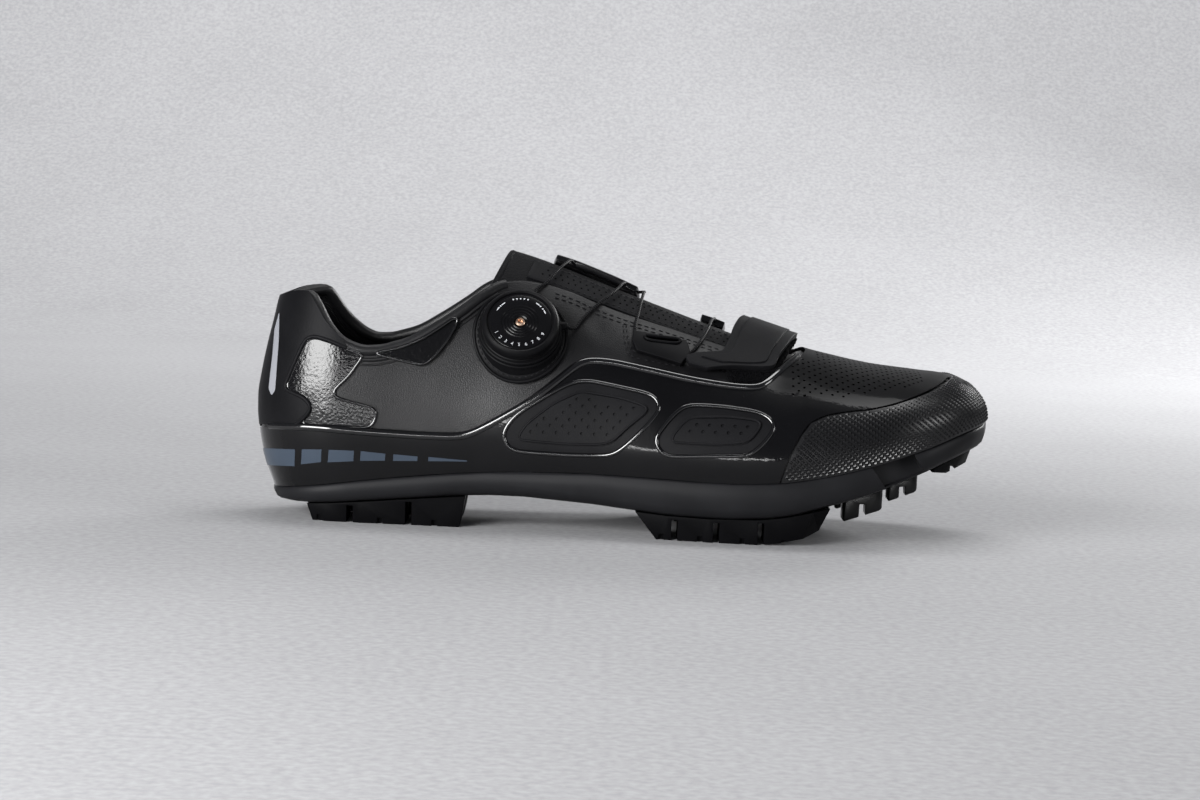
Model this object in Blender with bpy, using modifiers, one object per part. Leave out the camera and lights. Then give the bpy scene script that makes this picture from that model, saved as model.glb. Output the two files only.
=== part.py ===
"""Right-foot gravel cycling shoe with a lace dial, a hook-and-loop strap and a lugged sole.

Toe along +X, medial side along +Y, up along +Z, the floor at Z = 0 and X = 0 at the heel bulge.
The upper, its overlays, the tongue, the strap and the insole are all worked out from one last.
"""

import bisect
import math

import bmesh
import bpy
from mathutils import Matrix, Vector

# Driving dimensions, in metres.
LENGTH = 0.284
BALL_WIDTH = 0.098
UPPER_HEIGHT = 0.084
SOLE_HEIGHT = 0.024
TOE_SPRING = 0.023
HEEL_BULGE = 0.0072
TOE_ROLL = 0.0065
HEEL_ROUND = 0.030
TOE_ROUND = 0.060
WALL = 0.0022
CLEARANCE = 0.0003
SEAT = 0.0007
OVERLAY = 0.0010

# Sole and tread.
BAND_PROUD = 0.0016
BAND_TUCK = 0.0035
SOLE_HEEL_SET = 0.0015
TREAD_WIDTH = 0.019
TREAD_INSET = 0.0022
TREAD_TAPER = 0.0016
GROOVE_WIDTH = 0.0024
GROOVE_ROOF = 0.0012
NICK_SIZE = 0.0020
TOE_TREAD_DEPTH = 0.0048
INSOLE_THICKNESS = 0.0030
CLEAT_POCKET_WIDTH = 0.036
CLEAT_POCKET_DEPTH = 0.0030
CLEAT_SLOT_WIDTH = 0.0050
CLEAT_SLOT_LENGTH = 0.030
CLEAT_SLOT_GAP = 0.014
CLEAT_SLOT_DEPTH = 0.0025

# Tongue, strap, dial, guides and lace.
TONGUE_THICKNESS = 0.0030
STRAP_THICKNESS = 0.0022
PATCH_THICKNESS = 0.0010
DIAL_FLANGE_RADIUS = 0.0172
DIAL_FLANGE_THICKNESS = 0.0018
DIAL_HOUSING_RADIUS = 0.0151
DIAL_HOUSING_HEIGHT = 0.0046
DIAL_KNOB_RADIUS = 0.0147
DIAL_KNOB_HEIGHT = 0.0052
DIAL_SCREW_RADIUS = 0.0020
DIAL_LEAN = math.radians(35)
GUIDE_THICKNESS = 0.0026
LACE_DIAMETER = 0.0012

# Smaller sizes of the parts above.
CUT_OVER = 0.010
STUD_EDGE = 0.0012
PANEL = 0.0006
TREAD_GAP = 0.010
NICK_DEPTH = 0.0030
NICK_HEIGHT = 0.0023
TOE_NOTCH_DEPTH = 0.0045
CLEAT_POCKET_LENGTH = 0.052
CLEAT_CENTRE = 0.636
DIAL_SEAT = 0.0062
LACE_EXIT_HEIGHT = 0.0038
LACE_HOLD = 0.0040
LACE_STEP = 0.0030
DIAL_SIDES = 28
TONGUE_ROWS = 12
TONGUE_COLUMNS = 4

# The side outlines are drawn on a plane beside the shoe, as seen from one sight point.
PATTERN_SIDE = 0.034
SIGHT_AHEAD = 0.1325
SIGHT_SIDE = 1.1357
SIGHT_UP = 0.1479

LATERAL, MEDIAL = -1, 1
FEATHER_ROWS = 0.2

# Sections of the last. along: share of LENGTH. rise: share of SOLE_HEIGHT and spring: share of
# TOE_SPRING for the feather line. axis, lateral, medial, bulge, crown_side: shares of BALL_WIDTH.
# belly, crown: shares of UPPER_HEIGHT above the feather line. fullness: the section's roundness.
SECTION_COLUMNS = ("along", "rise", "spring", "axis", "lateral", "medial", "bulge", "belly",
                   "crown_side", "crown", "fullness")
SECTIONS = (
    (0.030, 0.46, 0.00, 0.000, 0.286, 0.286, 0.031, 0.32, 0.000, 1.27, 2.20),
    (0.106, 0.61, 0.00, 0.000, 0.301, 0.301, 0.031, 0.28, 0.000, 1.23, 2.20),
    (0.211, 0.79, 0.00, 0.000, 0.306, 0.301, 0.026, 0.21, 0.010, 1.14, 2.10),
    (0.299, 0.90, 0.00, 0.000, 0.316, 0.296, 0.026, 0.18, 0.020, 1.06, 1.90),
    (0.370, 0.96, 0.00, 0.000, 0.342, 0.301, 0.026, 0.14, 0.031, 0.980, 1.72),
    (0.458, 0.99, 0.00, 0.003, 0.381, 0.327, 0.020, 0.12, 0.041, 0.866, 1.62),
    (0.546, 0.98, 0.00, 0.012, 0.439, 0.378, 0.018, 0.11, 0.056, 0.762, 1.60),
    (0.634, 0.96, 0.00, 0.026, 0.490, 0.423, 0.015, 0.10, 0.066, 0.667, 1.65),
    (0.704, 0.96, 0.04, 0.036, 0.510, 0.444, 0.012, 0.095, 0.071, 0.583, 1.80),
    (0.757, 0.96, 0.14, 0.044, 0.510, 0.442, 0.012, 0.09, 0.071, 0.510, 1.95),
    (0.827, 0.96, 0.35, 0.054, 0.495, 0.429, 0.010, 0.078, 0.071, 0.405, 2.10),
    (0.898, 0.96, 0.63, 0.062, 0.474, 0.408, 0.008, 0.066, 0.071, 0.304, 2.20),
    (0.951, 0.96, 0.87, 0.068, 0.454, 0.388, 0.006, 0.054, 0.071, 0.223, 2.20),
    (0.993, 0.96, 1.02, 0.071, 0.439, 0.367, 0.005, 0.048, 0.071, 0.143, 2.20),
)

# The heel's back line: height above the feather line, as a share of UPPER_HEIGHT, and how far
# it stands behind the feather line, as a share of HEEL_BULGE.
BACK_COLUMNS = ("height", "behind")
BACK_LINE = (
    (0.00, 0.00), (0.13, 0.56), (0.24, 0.85), (0.35, 0.99), (0.41, 1.00), (0.51, 0.86),
    (0.64, 0.59), (0.77, 0.26), (0.85, 0.07), (0.90, -0.12), (1.30, -2.00),
)

# The collar and throat edge: height above the feather line, as a share of UPPER_HEIGHT.
EDGE_COLUMNS = ("along", "lateral", "medial")
TOP_EDGE = (
    (0.030, 0.862, 0.862), (0.056, 0.882, 0.882), (0.072, 0.876, 0.880), (0.081, 0.845, 0.868),
    (0.088, 0.811, 0.841), (0.097, 0.762, 0.797), (0.106, 0.720, 0.756), (0.123, 0.658, 0.692),
    (0.141, 0.619, 0.640), (0.158, 0.598, 0.612), (0.176, 0.595, 0.607), (0.194, 0.605, 0.617),
    (0.211, 0.619, 0.631), (0.246, 0.679, 0.691), (0.282, 0.752, 0.764), (0.310, 0.815, 0.825),
    (0.334, 0.849, 0.849), (0.352, 0.849, 0.849), (0.387, 0.830, 0.830), (0.423, 0.793, 0.795),
    (0.458, 0.746, 0.750), (0.493, 0.706, 0.710), (0.528, 0.675, 0.678), (0.563, 0.644, 0.646),
    (0.599, 0.612, 0.614), (0.634, 0.581, 0.583), (0.669, 0.550, 0.552), (0.700, 0.520, 0.522),
)
THROAT_TURN = 0.694
THROAT_FRONT = 0.736

# Underside of the sole's side band and the tread's running line, as shares of SOLE_HEIGHT;
# spring is the share of TOE_SPRING added to both.
BAND_COLUMNS = ("along", "underside", "spring", "arch")
BAND = (
    (0.030, 0.26, 0.00, 0.00), (0.060, 0.27, 0.00, 0.00), (0.120, 0.32, 0.00, 0.02),
    (0.211, 0.43, 0.00, 0.04), (0.292, 0.52, 0.00, 0.05), (0.352, 0.55, 0.00, 0.05),
    (0.440, 0.51, 0.00, 0.04), (0.520, 0.43, 0.00, 0.02), (0.580, 0.39, 0.00, 0.00),
    (0.650, 0.385, 0.00, 0.00), (0.704, 0.40, 0.04, 0.00), (0.757, 0.43, 0.14, 0.00),
    (0.827, 0.46, 0.38, 0.00), (0.898, 0.50, 0.68, 0.00), (0.951, 0.52, 0.93, 0.00),
    (0.993, 0.54, 1.08, 0.00),
)

# Tread strips: where each row of the strip stands, as shares of LENGTH at its root and at its
# running face, how much of the strip's width its outer side is cut back, and how far its
# running face is lifted, as a share of SOLE_HEIGHT.
STRIP_COLUMNS = ("root", "foot", "cut", "lift")
FORE_STRIP = (
    (0.518, 0.546, 0.00, 0.000), (0.560, 0.572, 0.00, 0.000), (0.616, 0.618, 0.00, 0.000),
    (0.680, 0.680, 0.00, 0.000), (0.715, 0.713, 0.00, 0.045), (0.754, 0.743, 0.00, 0.125),
    (0.777, 0.766, 0.45, 0.220),
)
HEEL_STRIP = (
    (0.074, 0.080, 0.00, 0.000), (0.100, 0.101, 0.00, 0.000), (0.150, 0.150, 0.00, 0.000),
    (0.220, 0.220, 0.00, 0.000), (0.291, 0.284, 0.00, 0.000),
)
HEEL_GROOVES = (0.137, 0.216)
FORE_GROOVES = (0.572, 0.627, 0.686)
HEEL_NICKS = (0.096, 0.178, 0.251)
FORE_NICKS = (0.555, 0.606, 0.662, 0.717)
TOE_STRIP = (0.922, 0.944, 0.962, 0.977)

# Toe studs: centre along and aside, then length, width and depth.
STUD_COLUMNS = ("along", "aside", "length", "width", "depth")
STUDS = ((0.826, 0.20, 0.0150, 0.011, 0.0098), (0.880, 0.17, 0.0112, 0.010, 0.0080))

# Outlines in the side pattern: shares of LENGTH along, and of the pattern's height up. The
# pattern is PATTERN_TALL times as high as sole and upper together.
PATTERN_TALL = 2.63
TOE_CAP = (
    (0.706, 0.060), (0.715, 0.092), (0.724, 0.118), (0.736, 0.144), (0.748, 0.162),
    (0.768, 0.172), (0.796, 0.178), (0.825, 0.182), (0.856, 0.190), (0.880, 0.199),
    (0.902, 0.209), (0.920, 0.220), (0.937, 0.236), (0.9385, 0.260), (1.06, 0.260), (1.06, 0.060),
)
GUARD = (
    (-0.06, 0.030), (-0.06, 0.127), (0.038, 0.127), (0.090, 0.127), (0.150, 0.124),
    (0.220, 0.122), (0.276, 0.122), (0.296, 0.126), (0.330, 0.145), (0.376, 0.174),
    (0.420, 0.212), (0.436, 0.226), (0.452, 0.231), (0.480, 0.230), (0.530, 0.221),
    (0.590, 0.210), (0.640, 0.204), (0.672, 0.203), (0.684, 0.208), (0.698, 0.222),
    (0.712, 0.236), (0.726, 0.247), (0.738, 0.260), (0.742, 0.320), (0.936, 0.320),
    (0.936, 0.262), (0.9335, 0.2385), (0.918, 0.2228), (0.900, 0.2113), (0.879, 0.2013),
    (0.855, 0.1923), (0.825, 0.1842), (0.795, 0.1802), (0.767, 0.1743), (0.7462, 0.1635),
    (0.734, 0.1450), (0.722, 0.1188), (0.713, 0.0926), (0.704, 0.060), (0.700, 0.030),
)
REAR_WINDOW = (
    (0.338, 0.130), (0.354, 0.154), (0.392, 0.180), (0.424, 0.200), (0.448, 0.205),
    (0.500, 0.196), (0.534, 0.190), (0.546, 0.178), (0.544, 0.164), (0.520, 0.136),
    (0.498, 0.114), (0.482, 0.105), (0.420, 0.104), (0.356, 0.106), (0.344, 0.114),
)
FRONT_WINDOW = (
    (0.541, 0.130), (0.552, 0.148), (0.570, 0.170), (0.586, 0.178), (0.630, 0.177),
    (0.678, 0.172), (0.696, 0.162), (0.700, 0.150), (0.688, 0.132), (0.672, 0.116),
    (0.660, 0.112), (0.610, 0.110), (0.560, 0.107), (0.548, 0.114),
)
HEEL_COUNTER = (
    (-0.06, 0.131), (0.067, 0.130), (0.082, 0.147), (0.083, 0.157), (0.072, 0.167),
    (0.046, 0.176), (0.058, 0.208), (0.073, 0.244), (0.084, 0.249), (0.106, 0.243),
    (0.130, 0.233), (0.118, 0.262), (0.094, 0.300), (0.070, 0.330), (-0.06, 0.330),
)
HEEL_PATCH = (
    (0.0690, 0.1306), (0.0840, 0.1462), (0.0852, 0.1575), (0.0732, 0.1688), (0.0484, 0.1776),
    (0.0600, 0.2074), (0.0742, 0.2420), (0.0850, 0.2470), (0.1060, 0.2412), (0.1320, 0.2312),
    (0.1520, 0.2265), (0.1460, 0.2190), (0.1320, 0.1970), (0.1100, 0.1755), (0.1160, 0.1675),
    (0.1390, 0.1620), (0.1640, 0.1575), (0.1710, 0.1500), (0.1690, 0.1400), (0.1630, 0.1292),
    (0.1100, 0.1300),
)
COLLAR_PATCH = (
    (0.162, 0.229), (0.190, 0.223), (0.226, 0.216), (0.236, 0.219), (0.250, 0.234),
    (0.266, 0.258), (0.276, 0.277), (0.270, 0.282), (0.252, 0.268), (0.226, 0.250),
    (0.200, 0.238),
)

TOE_NOTCH = ((0.826, 0.114), (0.848, 0.083), (0.900, 0.104), (0.882, 0.132))

# The strap: how far round from the crown (lateral below zero), rear and front edge, and height
# above the last.
STRAP_COLUMNS = ("round", "rear", "front", "above")
STRAP = (
    (-0.465, 0.582, 0.606, 0.0022), (-0.440, 0.577, 0.625, 0.0022), (-0.415, 0.588, 0.650, 0.0022),
    (-0.390, 0.606, 0.680, 0.0022), (-0.365, 0.624, 0.695, 0.0023), (-0.300, 0.632, 0.701, 0.0026),
    (-0.200, 0.638, 0.712, 0.0033), (-0.100, 0.645, 0.721, 0.0040), (0.000, 0.652, 0.728, 0.0042),
    (0.130, 0.656, 0.731, 0.0042), (0.260, 0.658, 0.732, 0.0034), (0.400, 0.658, 0.731, 0.0024),
    (0.520, 0.657, 0.729, 0.0020),
)
PATCH_COLUMNS = ("round", "rear", "front")
HOOK_PATCH = ((-0.475, 0.640, 0.664), (-0.440, 0.634, 0.682), (-0.400, 0.634, 0.692),
              (-0.340, 0.640, 0.702))

# Guides: their outline as places along and round from the crown.
PLACE_COLUMNS = ("along", "round")
SIDE_GUIDE = (((0.506, -0.385), (0.540, -0.370), (0.578, -0.355)),
              ((0.505, -0.420), (0.540, -0.415), (0.583, -0.405)),
              ((0.512, -0.462), (0.540, -0.465), (0.572, -0.468)))
REAR_GUIDE = (((0.397, 0.100), (0.430, 0.090), (0.474, 0.095), (0.510, 0.108)),
              ((0.392, 0.210), (0.430, 0.210), (0.474, 0.210), (0.514, 0.215)),
              ((0.397, 0.330), (0.430, 0.335), (0.474, 0.335), (0.510, 0.330)))
FRONT_GUIDE = (((0.600, 0.160), (0.616, 0.155), (0.632, 0.160)),
               ((0.598, 0.250), (0.616, 0.250), (0.634, 0.250)),
               ((0.602, 0.345), (0.616, 0.350), (0.630, 0.345)))

# The lace's two runs, as places on the last and the height of its middle above it.
LACE_COLUMNS = ("along", "round", "above")
LACE_REAR = (
    (0.374, -0.335, 0.0016), (0.386, -0.290, 0.0012), (0.400, -0.200, 0.0012),
    (0.411, -0.100, 0.0012), (0.417, 0.020, 0.0014), (0.421, 0.100, 0.0019),
    (0.432, 0.155, 0.0019), (0.458, 0.180, 0.0019), (0.488, 0.178, 0.0019),
    (0.508, 0.150, 0.0019), (0.520, 0.080, 0.0015), (0.519, -0.060, 0.0012),
    (0.515, -0.200, 0.0012), (0.512, -0.280, 0.0012), (0.509, -0.350, 0.0014),
    (0.510, -0.400, 0.0018), (0.516, -0.438, 0.0018), (0.540, -0.444, 0.0018),
    (0.566, -0.442, 0.0018), (0.580, -0.410, 0.0014), (0.594, -0.340, 0.0012),
    (0.606, -0.230, 0.0012), (0.614, -0.080, 0.0013), (0.618, 0.080, 0.0015),
    (0.618, 0.180, 0.0019), (0.616, 0.245, 0.0019),
)
LACE_FRONT = (
    (0.426, -0.445, 0.0018), (0.440, -0.385, 0.0012), (0.456, -0.310, 0.0012),
    (0.470, -0.240, 0.0012), (0.483, -0.150, 0.0012), (0.490, -0.050, 0.0013),
    (0.492, 0.050, 0.0016), (0.492, 0.120, 0.0019),
)

TONGUE_REACH = 0.36
TONGUE_TOP = 0.342
TONGUE_SWEEP = 0.026
TONGUE_FRONT = 0.752

DIAL_ALONG = 0.357
DIAL_ROWS = 0.490


def row_of(columns, table, name):
    """The named column of a table."""
    return [row[columns.index(name)] for row in table]


def curve_through(xs, ys):
    """A smooth curve through the points that never overshoots them."""
    steps = [b - a for a, b in zip(xs, xs[1:])]
    slopes = [(b - a) / step for a, b, step in zip(ys, ys[1:], steps)]
    tangents = [slopes[0]]
    for before, after in zip(slopes, slopes[1:]):
        tangents.append(0.0 if before * after <= 0 else 2 * before * after / (before + after))
    tangents.append(slopes[-1])

    def value(x):
        x = min(max(x, xs[0]), xs[-1])
        i = min(max(bisect.bisect_right(xs, x) - 1, 0), len(xs) - 2)
        t = (x - xs[i]) / steps[i]
        return (ys[i] * (2 * t ** 3 - 3 * t ** 2 + 1) + ys[i + 1] * (3 * t ** 2 - 2 * t ** 3)
                + steps[i] * (tangents[i] * (t ** 3 - 2 * t ** 2 + t)
                              + tangents[i + 1] * (t ** 3 - t ** 2)))

    return value


def curves_of(columns, table):
    """One smooth curve for each column after the first."""
    xs = [row[0] for row in table]
    return {name: curve_through(xs, row_of(columns, table, name)) for name in columns[1:]}


SECTION = curves_of(SECTION_COLUMNS, SECTIONS)
BACK = curves_of(BACK_COLUMNS, BACK_LINE)
EDGE = curves_of(EDGE_COLUMNS, TOP_EDGE)
UNDER = curves_of(BAND_COLUMNS, BAND)
HEEL_END, TOE_END = SECTIONS[0][0], SECTIONS[-1][0]


def rounding(distance, reach, power=2.3):
    """How much of the full width a rounded end has at this distance from its tip."""
    t = min(max(distance / reach, 0.0), 1.0)
    return (1 - (1 - t) ** power) ** (1 / power)


def end_rounding(along):
    """The share of the section's width that the round heel and toe leave at this station."""
    heel = rounding((along - HEEL_END) * LENGTH, HEEL_ROUND)
    return heel * rounding((TOE_END - along) * LENGTH, TOE_ROUND)


def feather_height(along):
    """Height of the line where the upper meets the sole."""
    return SECTION["rise"](along) * SOLE_HEIGHT + SECTION["spring"](along) * TOE_SPRING


def last_point(side, along, rows):
    """A point of the last: rows runs from 0 at the feather line to 1 at the crown."""
    at = {name: curve(along) for name, curve in SECTION.items()}
    ends = end_rounding(along)
    floor = feather_height(along)
    axis = at["axis"] * BALL_WIDTH
    foot = at["lateral" if side == LATERAL else "medial"] * BALL_WIDTH * ends
    wide = foot + at["bulge"] * BALL_WIDTH * ends
    belly = at["belly"] * UPPER_HEIGHT
    crown = at["crown"] * UPPER_HEIGHT
    crown_side = axis + (at["crown_side"] * BALL_WIDTH - axis) * ends
    if rows <= FEATHER_ROWS:
        share = rows / FEATHER_ROWS
        reach = foot + (wide - foot) * (1 - (1 - share) ** 2)
        y, above = axis + side * reach, belly * share
    else:
        level = math.sin((rows - FEATHER_ROWS) / (1 - FEATHER_ROWS) * math.pi / 2)
        shape = max(1 - level ** at["fullness"], 0.0) ** (1 / at["fullness"])
        y = crown_side + (axis + side * wide - crown_side) * shape
        above = belly + (crown - belly) * level
    x = along * LENGTH
    back_fade = max(0.0, 1 - (along - HEEL_END) / 0.25) ** 2
    x -= BACK["behind"](above / UPPER_HEIGHT) * HEEL_BULGE * back_fade
    toe_fade = max(0.0, 1 - (TOE_END - along) / 0.12) ** 2
    x -= TOE_ROLL * toe_fade * (above / crown) ** 2.4
    return Vector((x, y, floor + above))


def last_normal(side, along, rows):
    """The outward direction of the last at a point."""
    step = 0.002
    a = min(max(along, HEEL_END + step), TOE_END - step)
    r = min(max(rows, step), 1 - step)
    ahead = last_point(side, a + step, r) - last_point(side, a - step, r)
    up = last_point(side, a, r + step) - last_point(side, a, r - step)
    return (up.cross(ahead) if side == MEDIAL else ahead.cross(up)).normalized()


def around(along, turn):
    """Side and rows of a place that is turn away from the crown, lateral below zero."""
    return (LATERAL if turn < 0 else MEDIAL), 1 - abs(turn)


def over_last(along, turn, above):
    """A point at a height above the last, named by its turn from the crown."""
    side, rows = around(along, turn)
    if abs(turn) < 1e-6:
        ahead = last_point(MEDIAL, along + 0.002, 1) - last_point(MEDIAL, along - 0.002, 1)
        normal = ahead.cross(Vector((0, 1, 0))).normalized()
    else:
        normal = last_normal(side, along, rows)
    return last_point(side, along, rows) + normal * above


def edge_rows(side, along):
    """Where the collar or throat edge stands on the section; 1 ahead of the throat."""
    if along >= THROAT_FRONT:
        return 1.0
    wanted = EDGE["lateral" if side == LATERAL else "medial"](along) * UPPER_HEIGHT
    low, high = 0.0, 1.0
    for _ in range(40):
        middle = (low + high) / 2
        if last_point(side, along, middle).z - feather_height(along) < wanted:
            low = middle
        else:
            high = middle
    if along > THROAT_TURN:
        t = (along - THROAT_TURN) / (THROAT_FRONT - THROAT_TURN)
        low += (1 - low) * (1 - math.sqrt(1 - t * t))
    return low


def stations():
    """Where the upper's sections stand: close together at the round ends and the throat."""
    heel = [HEEL_END + HEEL_ROUND / LENGTH * (1 - math.cos(math.radians(a)))
            for a in (0, 22, 42, 60, 76, 90)]
    toe = [TOE_END - TOE_ROUND / LENGTH * (1 - math.cos(math.radians(a)))
           for a in (78, 66, 54, 42, 30, 18, 0)]
    count = 12
    middle = [heel[-1] + (THROAT_TURN - heel[-1]) * i / count for i in range(1, count + 1)]
    throat = [THROAT_TURN + (THROAT_FRONT - THROAT_TURN) * math.sin(math.radians(a))
              for a in (35, 62, 90)]
    return heel + middle + throat + [a for a in toe if a > throat[-1] + 0.008]


STATIONS = stations()
INSOLE_STATIONS = STATIONS[1:-1]
ROW_STEPS = (0.0, 0.09, 0.18, 0.32, 0.47, 0.62, 0.77, 0.89, 1.0)


def remove_startup_objects():
    for obj in list(bpy.data.objects):
        bpy.data.objects.remove(obj)


def collection_named(name):
    group = bpy.data.collections.new(name)
    bpy.context.scene.collection.children.link(group)
    return group


def material(name, colour, roughness, metallic=0.0):
    """A Principled material with one colour."""
    made = bpy.data.materials.new(name)
    made.use_nodes = True
    shader = made.node_tree.nodes["Principled BSDF"]
    shader.inputs["Base Color"].default_value = (*colour, 1)
    shader.inputs["Roughness"].default_value = roughness
    shader.inputs["Metallic"].default_value = metallic
    return made


def add_object(name, mesh, group, finish=None):
    obj = bpy.data.objects.new(name, mesh)
    group.objects.link(obj)
    if finish:
        mesh.materials.clear()
        mesh.materials.append(finish)
    return obj


def mesh_object(name, points, faces, group, finish=None):
    """An object from a list of points and faces, with its normals made to point out."""
    mesh = bpy.data.meshes.new(name)
    mesh.from_pydata([tuple(p) for p in points], [], faces)
    work = bmesh.new()
    work.from_mesh(mesh)
    bmesh.ops.remove_doubles(work, verts=work.verts, dist=1e-6)
    work.normal_update()
    bent = [face for face in work.faces if len(face.verts) > 3 and max(
        abs((vert.co - face.calc_center_median()).dot(face.normal)) for vert in face.verts) > 1e-7]
    bmesh.ops.triangulate(work, faces=bent)
    bmesh.ops.recalc_face_normals(work, faces=work.faces)
    work.to_mesh(mesh)
    work.free()
    return add_object(name, mesh, group, finish)


def baked(obj):
    """Replaces the object's mesh by its evaluated one, so that later cuts start from it."""
    bpy.context.view_layer.update()
    graph = bpy.context.evaluated_depsgraph_get()
    mesh = bpy.data.meshes.new_from_object(obj.evaluated_get(graph))
    obj.modifiers.clear()
    obj.data = mesh
    return obj


def cut(obj, cutter, operation="DIFFERENCE", bent=False):
    """Adds an exact Boolean and applies it; bent allows for tight bends in a cord."""
    tool = obj.modifiers.new(operation.title(), "BOOLEAN")
    tool.operation = operation
    tool.object = cutter
    tool.solver = "EXACT"
    tool.use_self = bent
    return baked(obj)


def shade(obj, angle=40):
    obj.data.shade_smooth()
    obj.data.set_sharp_from_angle(angle=math.radians(angle))
    return obj


def last_skin():
    """The upper's outer surface as points and faces: two sides that meet at heel, toe and vamp."""
    points, faces = [], []
    grids = {}
    for side in (LATERAL, MEDIAL):
        grid = []
        for along in STATIONS:
            top = edge_rows(side, along)
            row = []
            for step in ROW_STEPS:
                row.append(len(points))
                points.append(last_point(side, along, top * step))
            grid.append(row)
        grids[side] = grid
        for i in range(len(STATIONS) - 1):
            for j in range(len(ROW_STEPS) - 1):
                face = (grid[i][j], grid[i + 1][j], grid[i + 1][j + 1], grid[i][j + 1])
                faces.append(face if side == LATERAL else face[::-1])
    return points, faces


def skin_object(name, group, lift=0.0):
    """The upper's outer surface as an open mesh, moved outwards by lift."""
    points, faces = last_skin()
    mesh = bpy.data.meshes.new(name)
    mesh.from_pydata([tuple(p) for p in points], [], faces)
    work = bmesh.new()
    work.from_mesh(mesh)
    bmesh.ops.remove_doubles(work, verts=work.verts, dist=1e-6)
    bmesh.ops.recalc_face_normals(work, faces=work.faces)
    work.normal_update()
    lowest = min(work.faces, key=lambda face: face.calc_center_median().y)
    if lowest.normal.y > 0:
        bmesh.ops.reverse_faces(work, faces=work.faces)
        work.normal_update()
    moved = {vert: vert.co + vert.normal * lift for vert in work.verts}
    for vert, place in moved.items():
        vert.co = place
    work.to_mesh(mesh)
    work.free()
    return add_object(name, mesh, group)


def thicken(obj, thickness, outwards):
    """Gives an open surface its wall."""
    wall = obj.modifiers.new("Wall", "SOLIDIFY")
    wall.thickness = thickness
    wall.offset = 1 if outwards else -1
    wall.use_even_offset = True
    return baked(obj)


def make_upper(group, finish):
    """The hollow upper, open at collar, throat and underneath."""
    upper = skin_object("upper", group)
    for vert in upper.data.vertices:
        vert.co.z += CLEARANCE
    thicken(upper, WALL, outwards=False)
    upper.data.materials.append(finish)
    return shade(upper)


def pattern_height():
    """Height of the side pattern, which follows sole and upper."""
    return PATTERN_TALL * (SOLE_HEIGHT + UPPER_HEIGHT)


def pattern_prism(name, outline, side, helpers, reach=PATTERN_SIDE):
    """A frustum that carries a side outline from the pattern plane through one side."""
    sight = Vector((SIGHT_AHEAD, side * SIGHT_SIDE, SIGHT_UP))
    rings = []
    for depth in (BALL_WIDTH * 0.3, -reach):
        ring = []
        for along, up in outline:
            drawn = Vector((along * LENGTH, side * PATTERN_SIDE, up * pattern_height()))
            ray = drawn - sight
            ring.append(sight + ray * ((side * (PATTERN_SIDE + depth) - sight.y) / ray.y))
        rings.append(ring)
    count = len(outline)
    faces = [tuple(range(count)), tuple(range(2 * count - 1, count - 1, -1))]
    faces += [(i, (i + 1) % count, count + (i + 1) % count, count + i) for i in range(count)]
    prism = mesh_object(name, rings[0] + rings[1], faces, helpers)
    prism.hide_render = True
    prism.display_type = "WIRE"
    return prism


def overlay(name, outline, side, group, helpers, finish, thickness=OVERLAY):
    """A panel laid on the upper: its outline's share of a thin shell around the last."""
    panel = skin_object(name, group, lift=CLEARANCE)
    for vert in panel.data.vertices:
        vert.co.z += 2 * CLEARANCE
    thicken(panel, thickness, outwards=True)
    cut(panel, pattern_prism(name + "_outline", outline, side, helpers), "INTERSECT")
    panel.data.materials.clear()
    panel.data.materials.append(finish)
    return shade(panel)


def whole_overlay(name, outline, windows, group, helpers, finish, thickness=OVERLAY):
    """A panel that wraps round the toe or heel: both sides' outlines joined."""
    panel = skin_object(name, group, lift=CLEARANCE)
    for vert in panel.data.vertices:
        vert.co.z += 2 * CLEARANCE
    thicken(panel, thickness, outwards=True)
    prisms = [pattern_prism(f"{name}_outline_{side}", outline, side, helpers, PATTERN_SIDE * 1.1)
              for side in (LATERAL, MEDIAL)]
    cut(prisms[0], prisms[1], "UNION")
    cut(panel, prisms[0], "INTERSECT")
    for side in (LATERAL, MEDIAL):
        for number, window in enumerate(windows):
            cut(panel, pattern_prism(f"{name}_window_{side}_{number}", window, side, helpers))
    panel.data.materials.clear()
    panel.data.materials.append(finish)
    return shade(panel)


def plan_point(side, along, out):
    """A point of the sole's plan outline, moved out square to the feather line."""
    foot = last_point(side, along, 0)
    if along <= HEEL_END + 1e-6 or along >= TOE_END - 1e-6:
        end = -1 if along <= HEEL_END + 1e-6 else 1
        return Vector((foot.x + end * out, foot.y))
    step = min(0.0015, (along - HEEL_END) / 2, (TOE_END - along) / 2)
    run = last_point(side, along + step, 0) - last_point(side, along - step, 0)
    normal = Vector((-run.y * side, run.x * side)).normalized()
    return Vector((foot.x + normal.x * out, foot.y + normal.y * out))


def underside(along):
    """Height of the sole's underside at its rim."""
    return UNDER["underside"](along) * SOLE_HEIGHT + UNDER["spring"](along) * TOE_SPRING


def loft(rings, close_ends=True):
    """Faces between rings of as many points, which follow one another."""
    count = len(rings[0])
    points = [point for ring in rings for point in ring]
    faces = []
    for i in range(len(rings) - 1):
        for j in range(count):
            k = (j + 1) % count
            faces.append((i * count + j, i * count + k, (i + 1) * count + k, (i + 1) * count + j))
    if close_ends:
        last = (len(rings) - 1) * count
        faces.append(tuple(range(count)))
        faces.append(tuple(range(last + count - 1, last - 1, -1)))
    return points, faces


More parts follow.
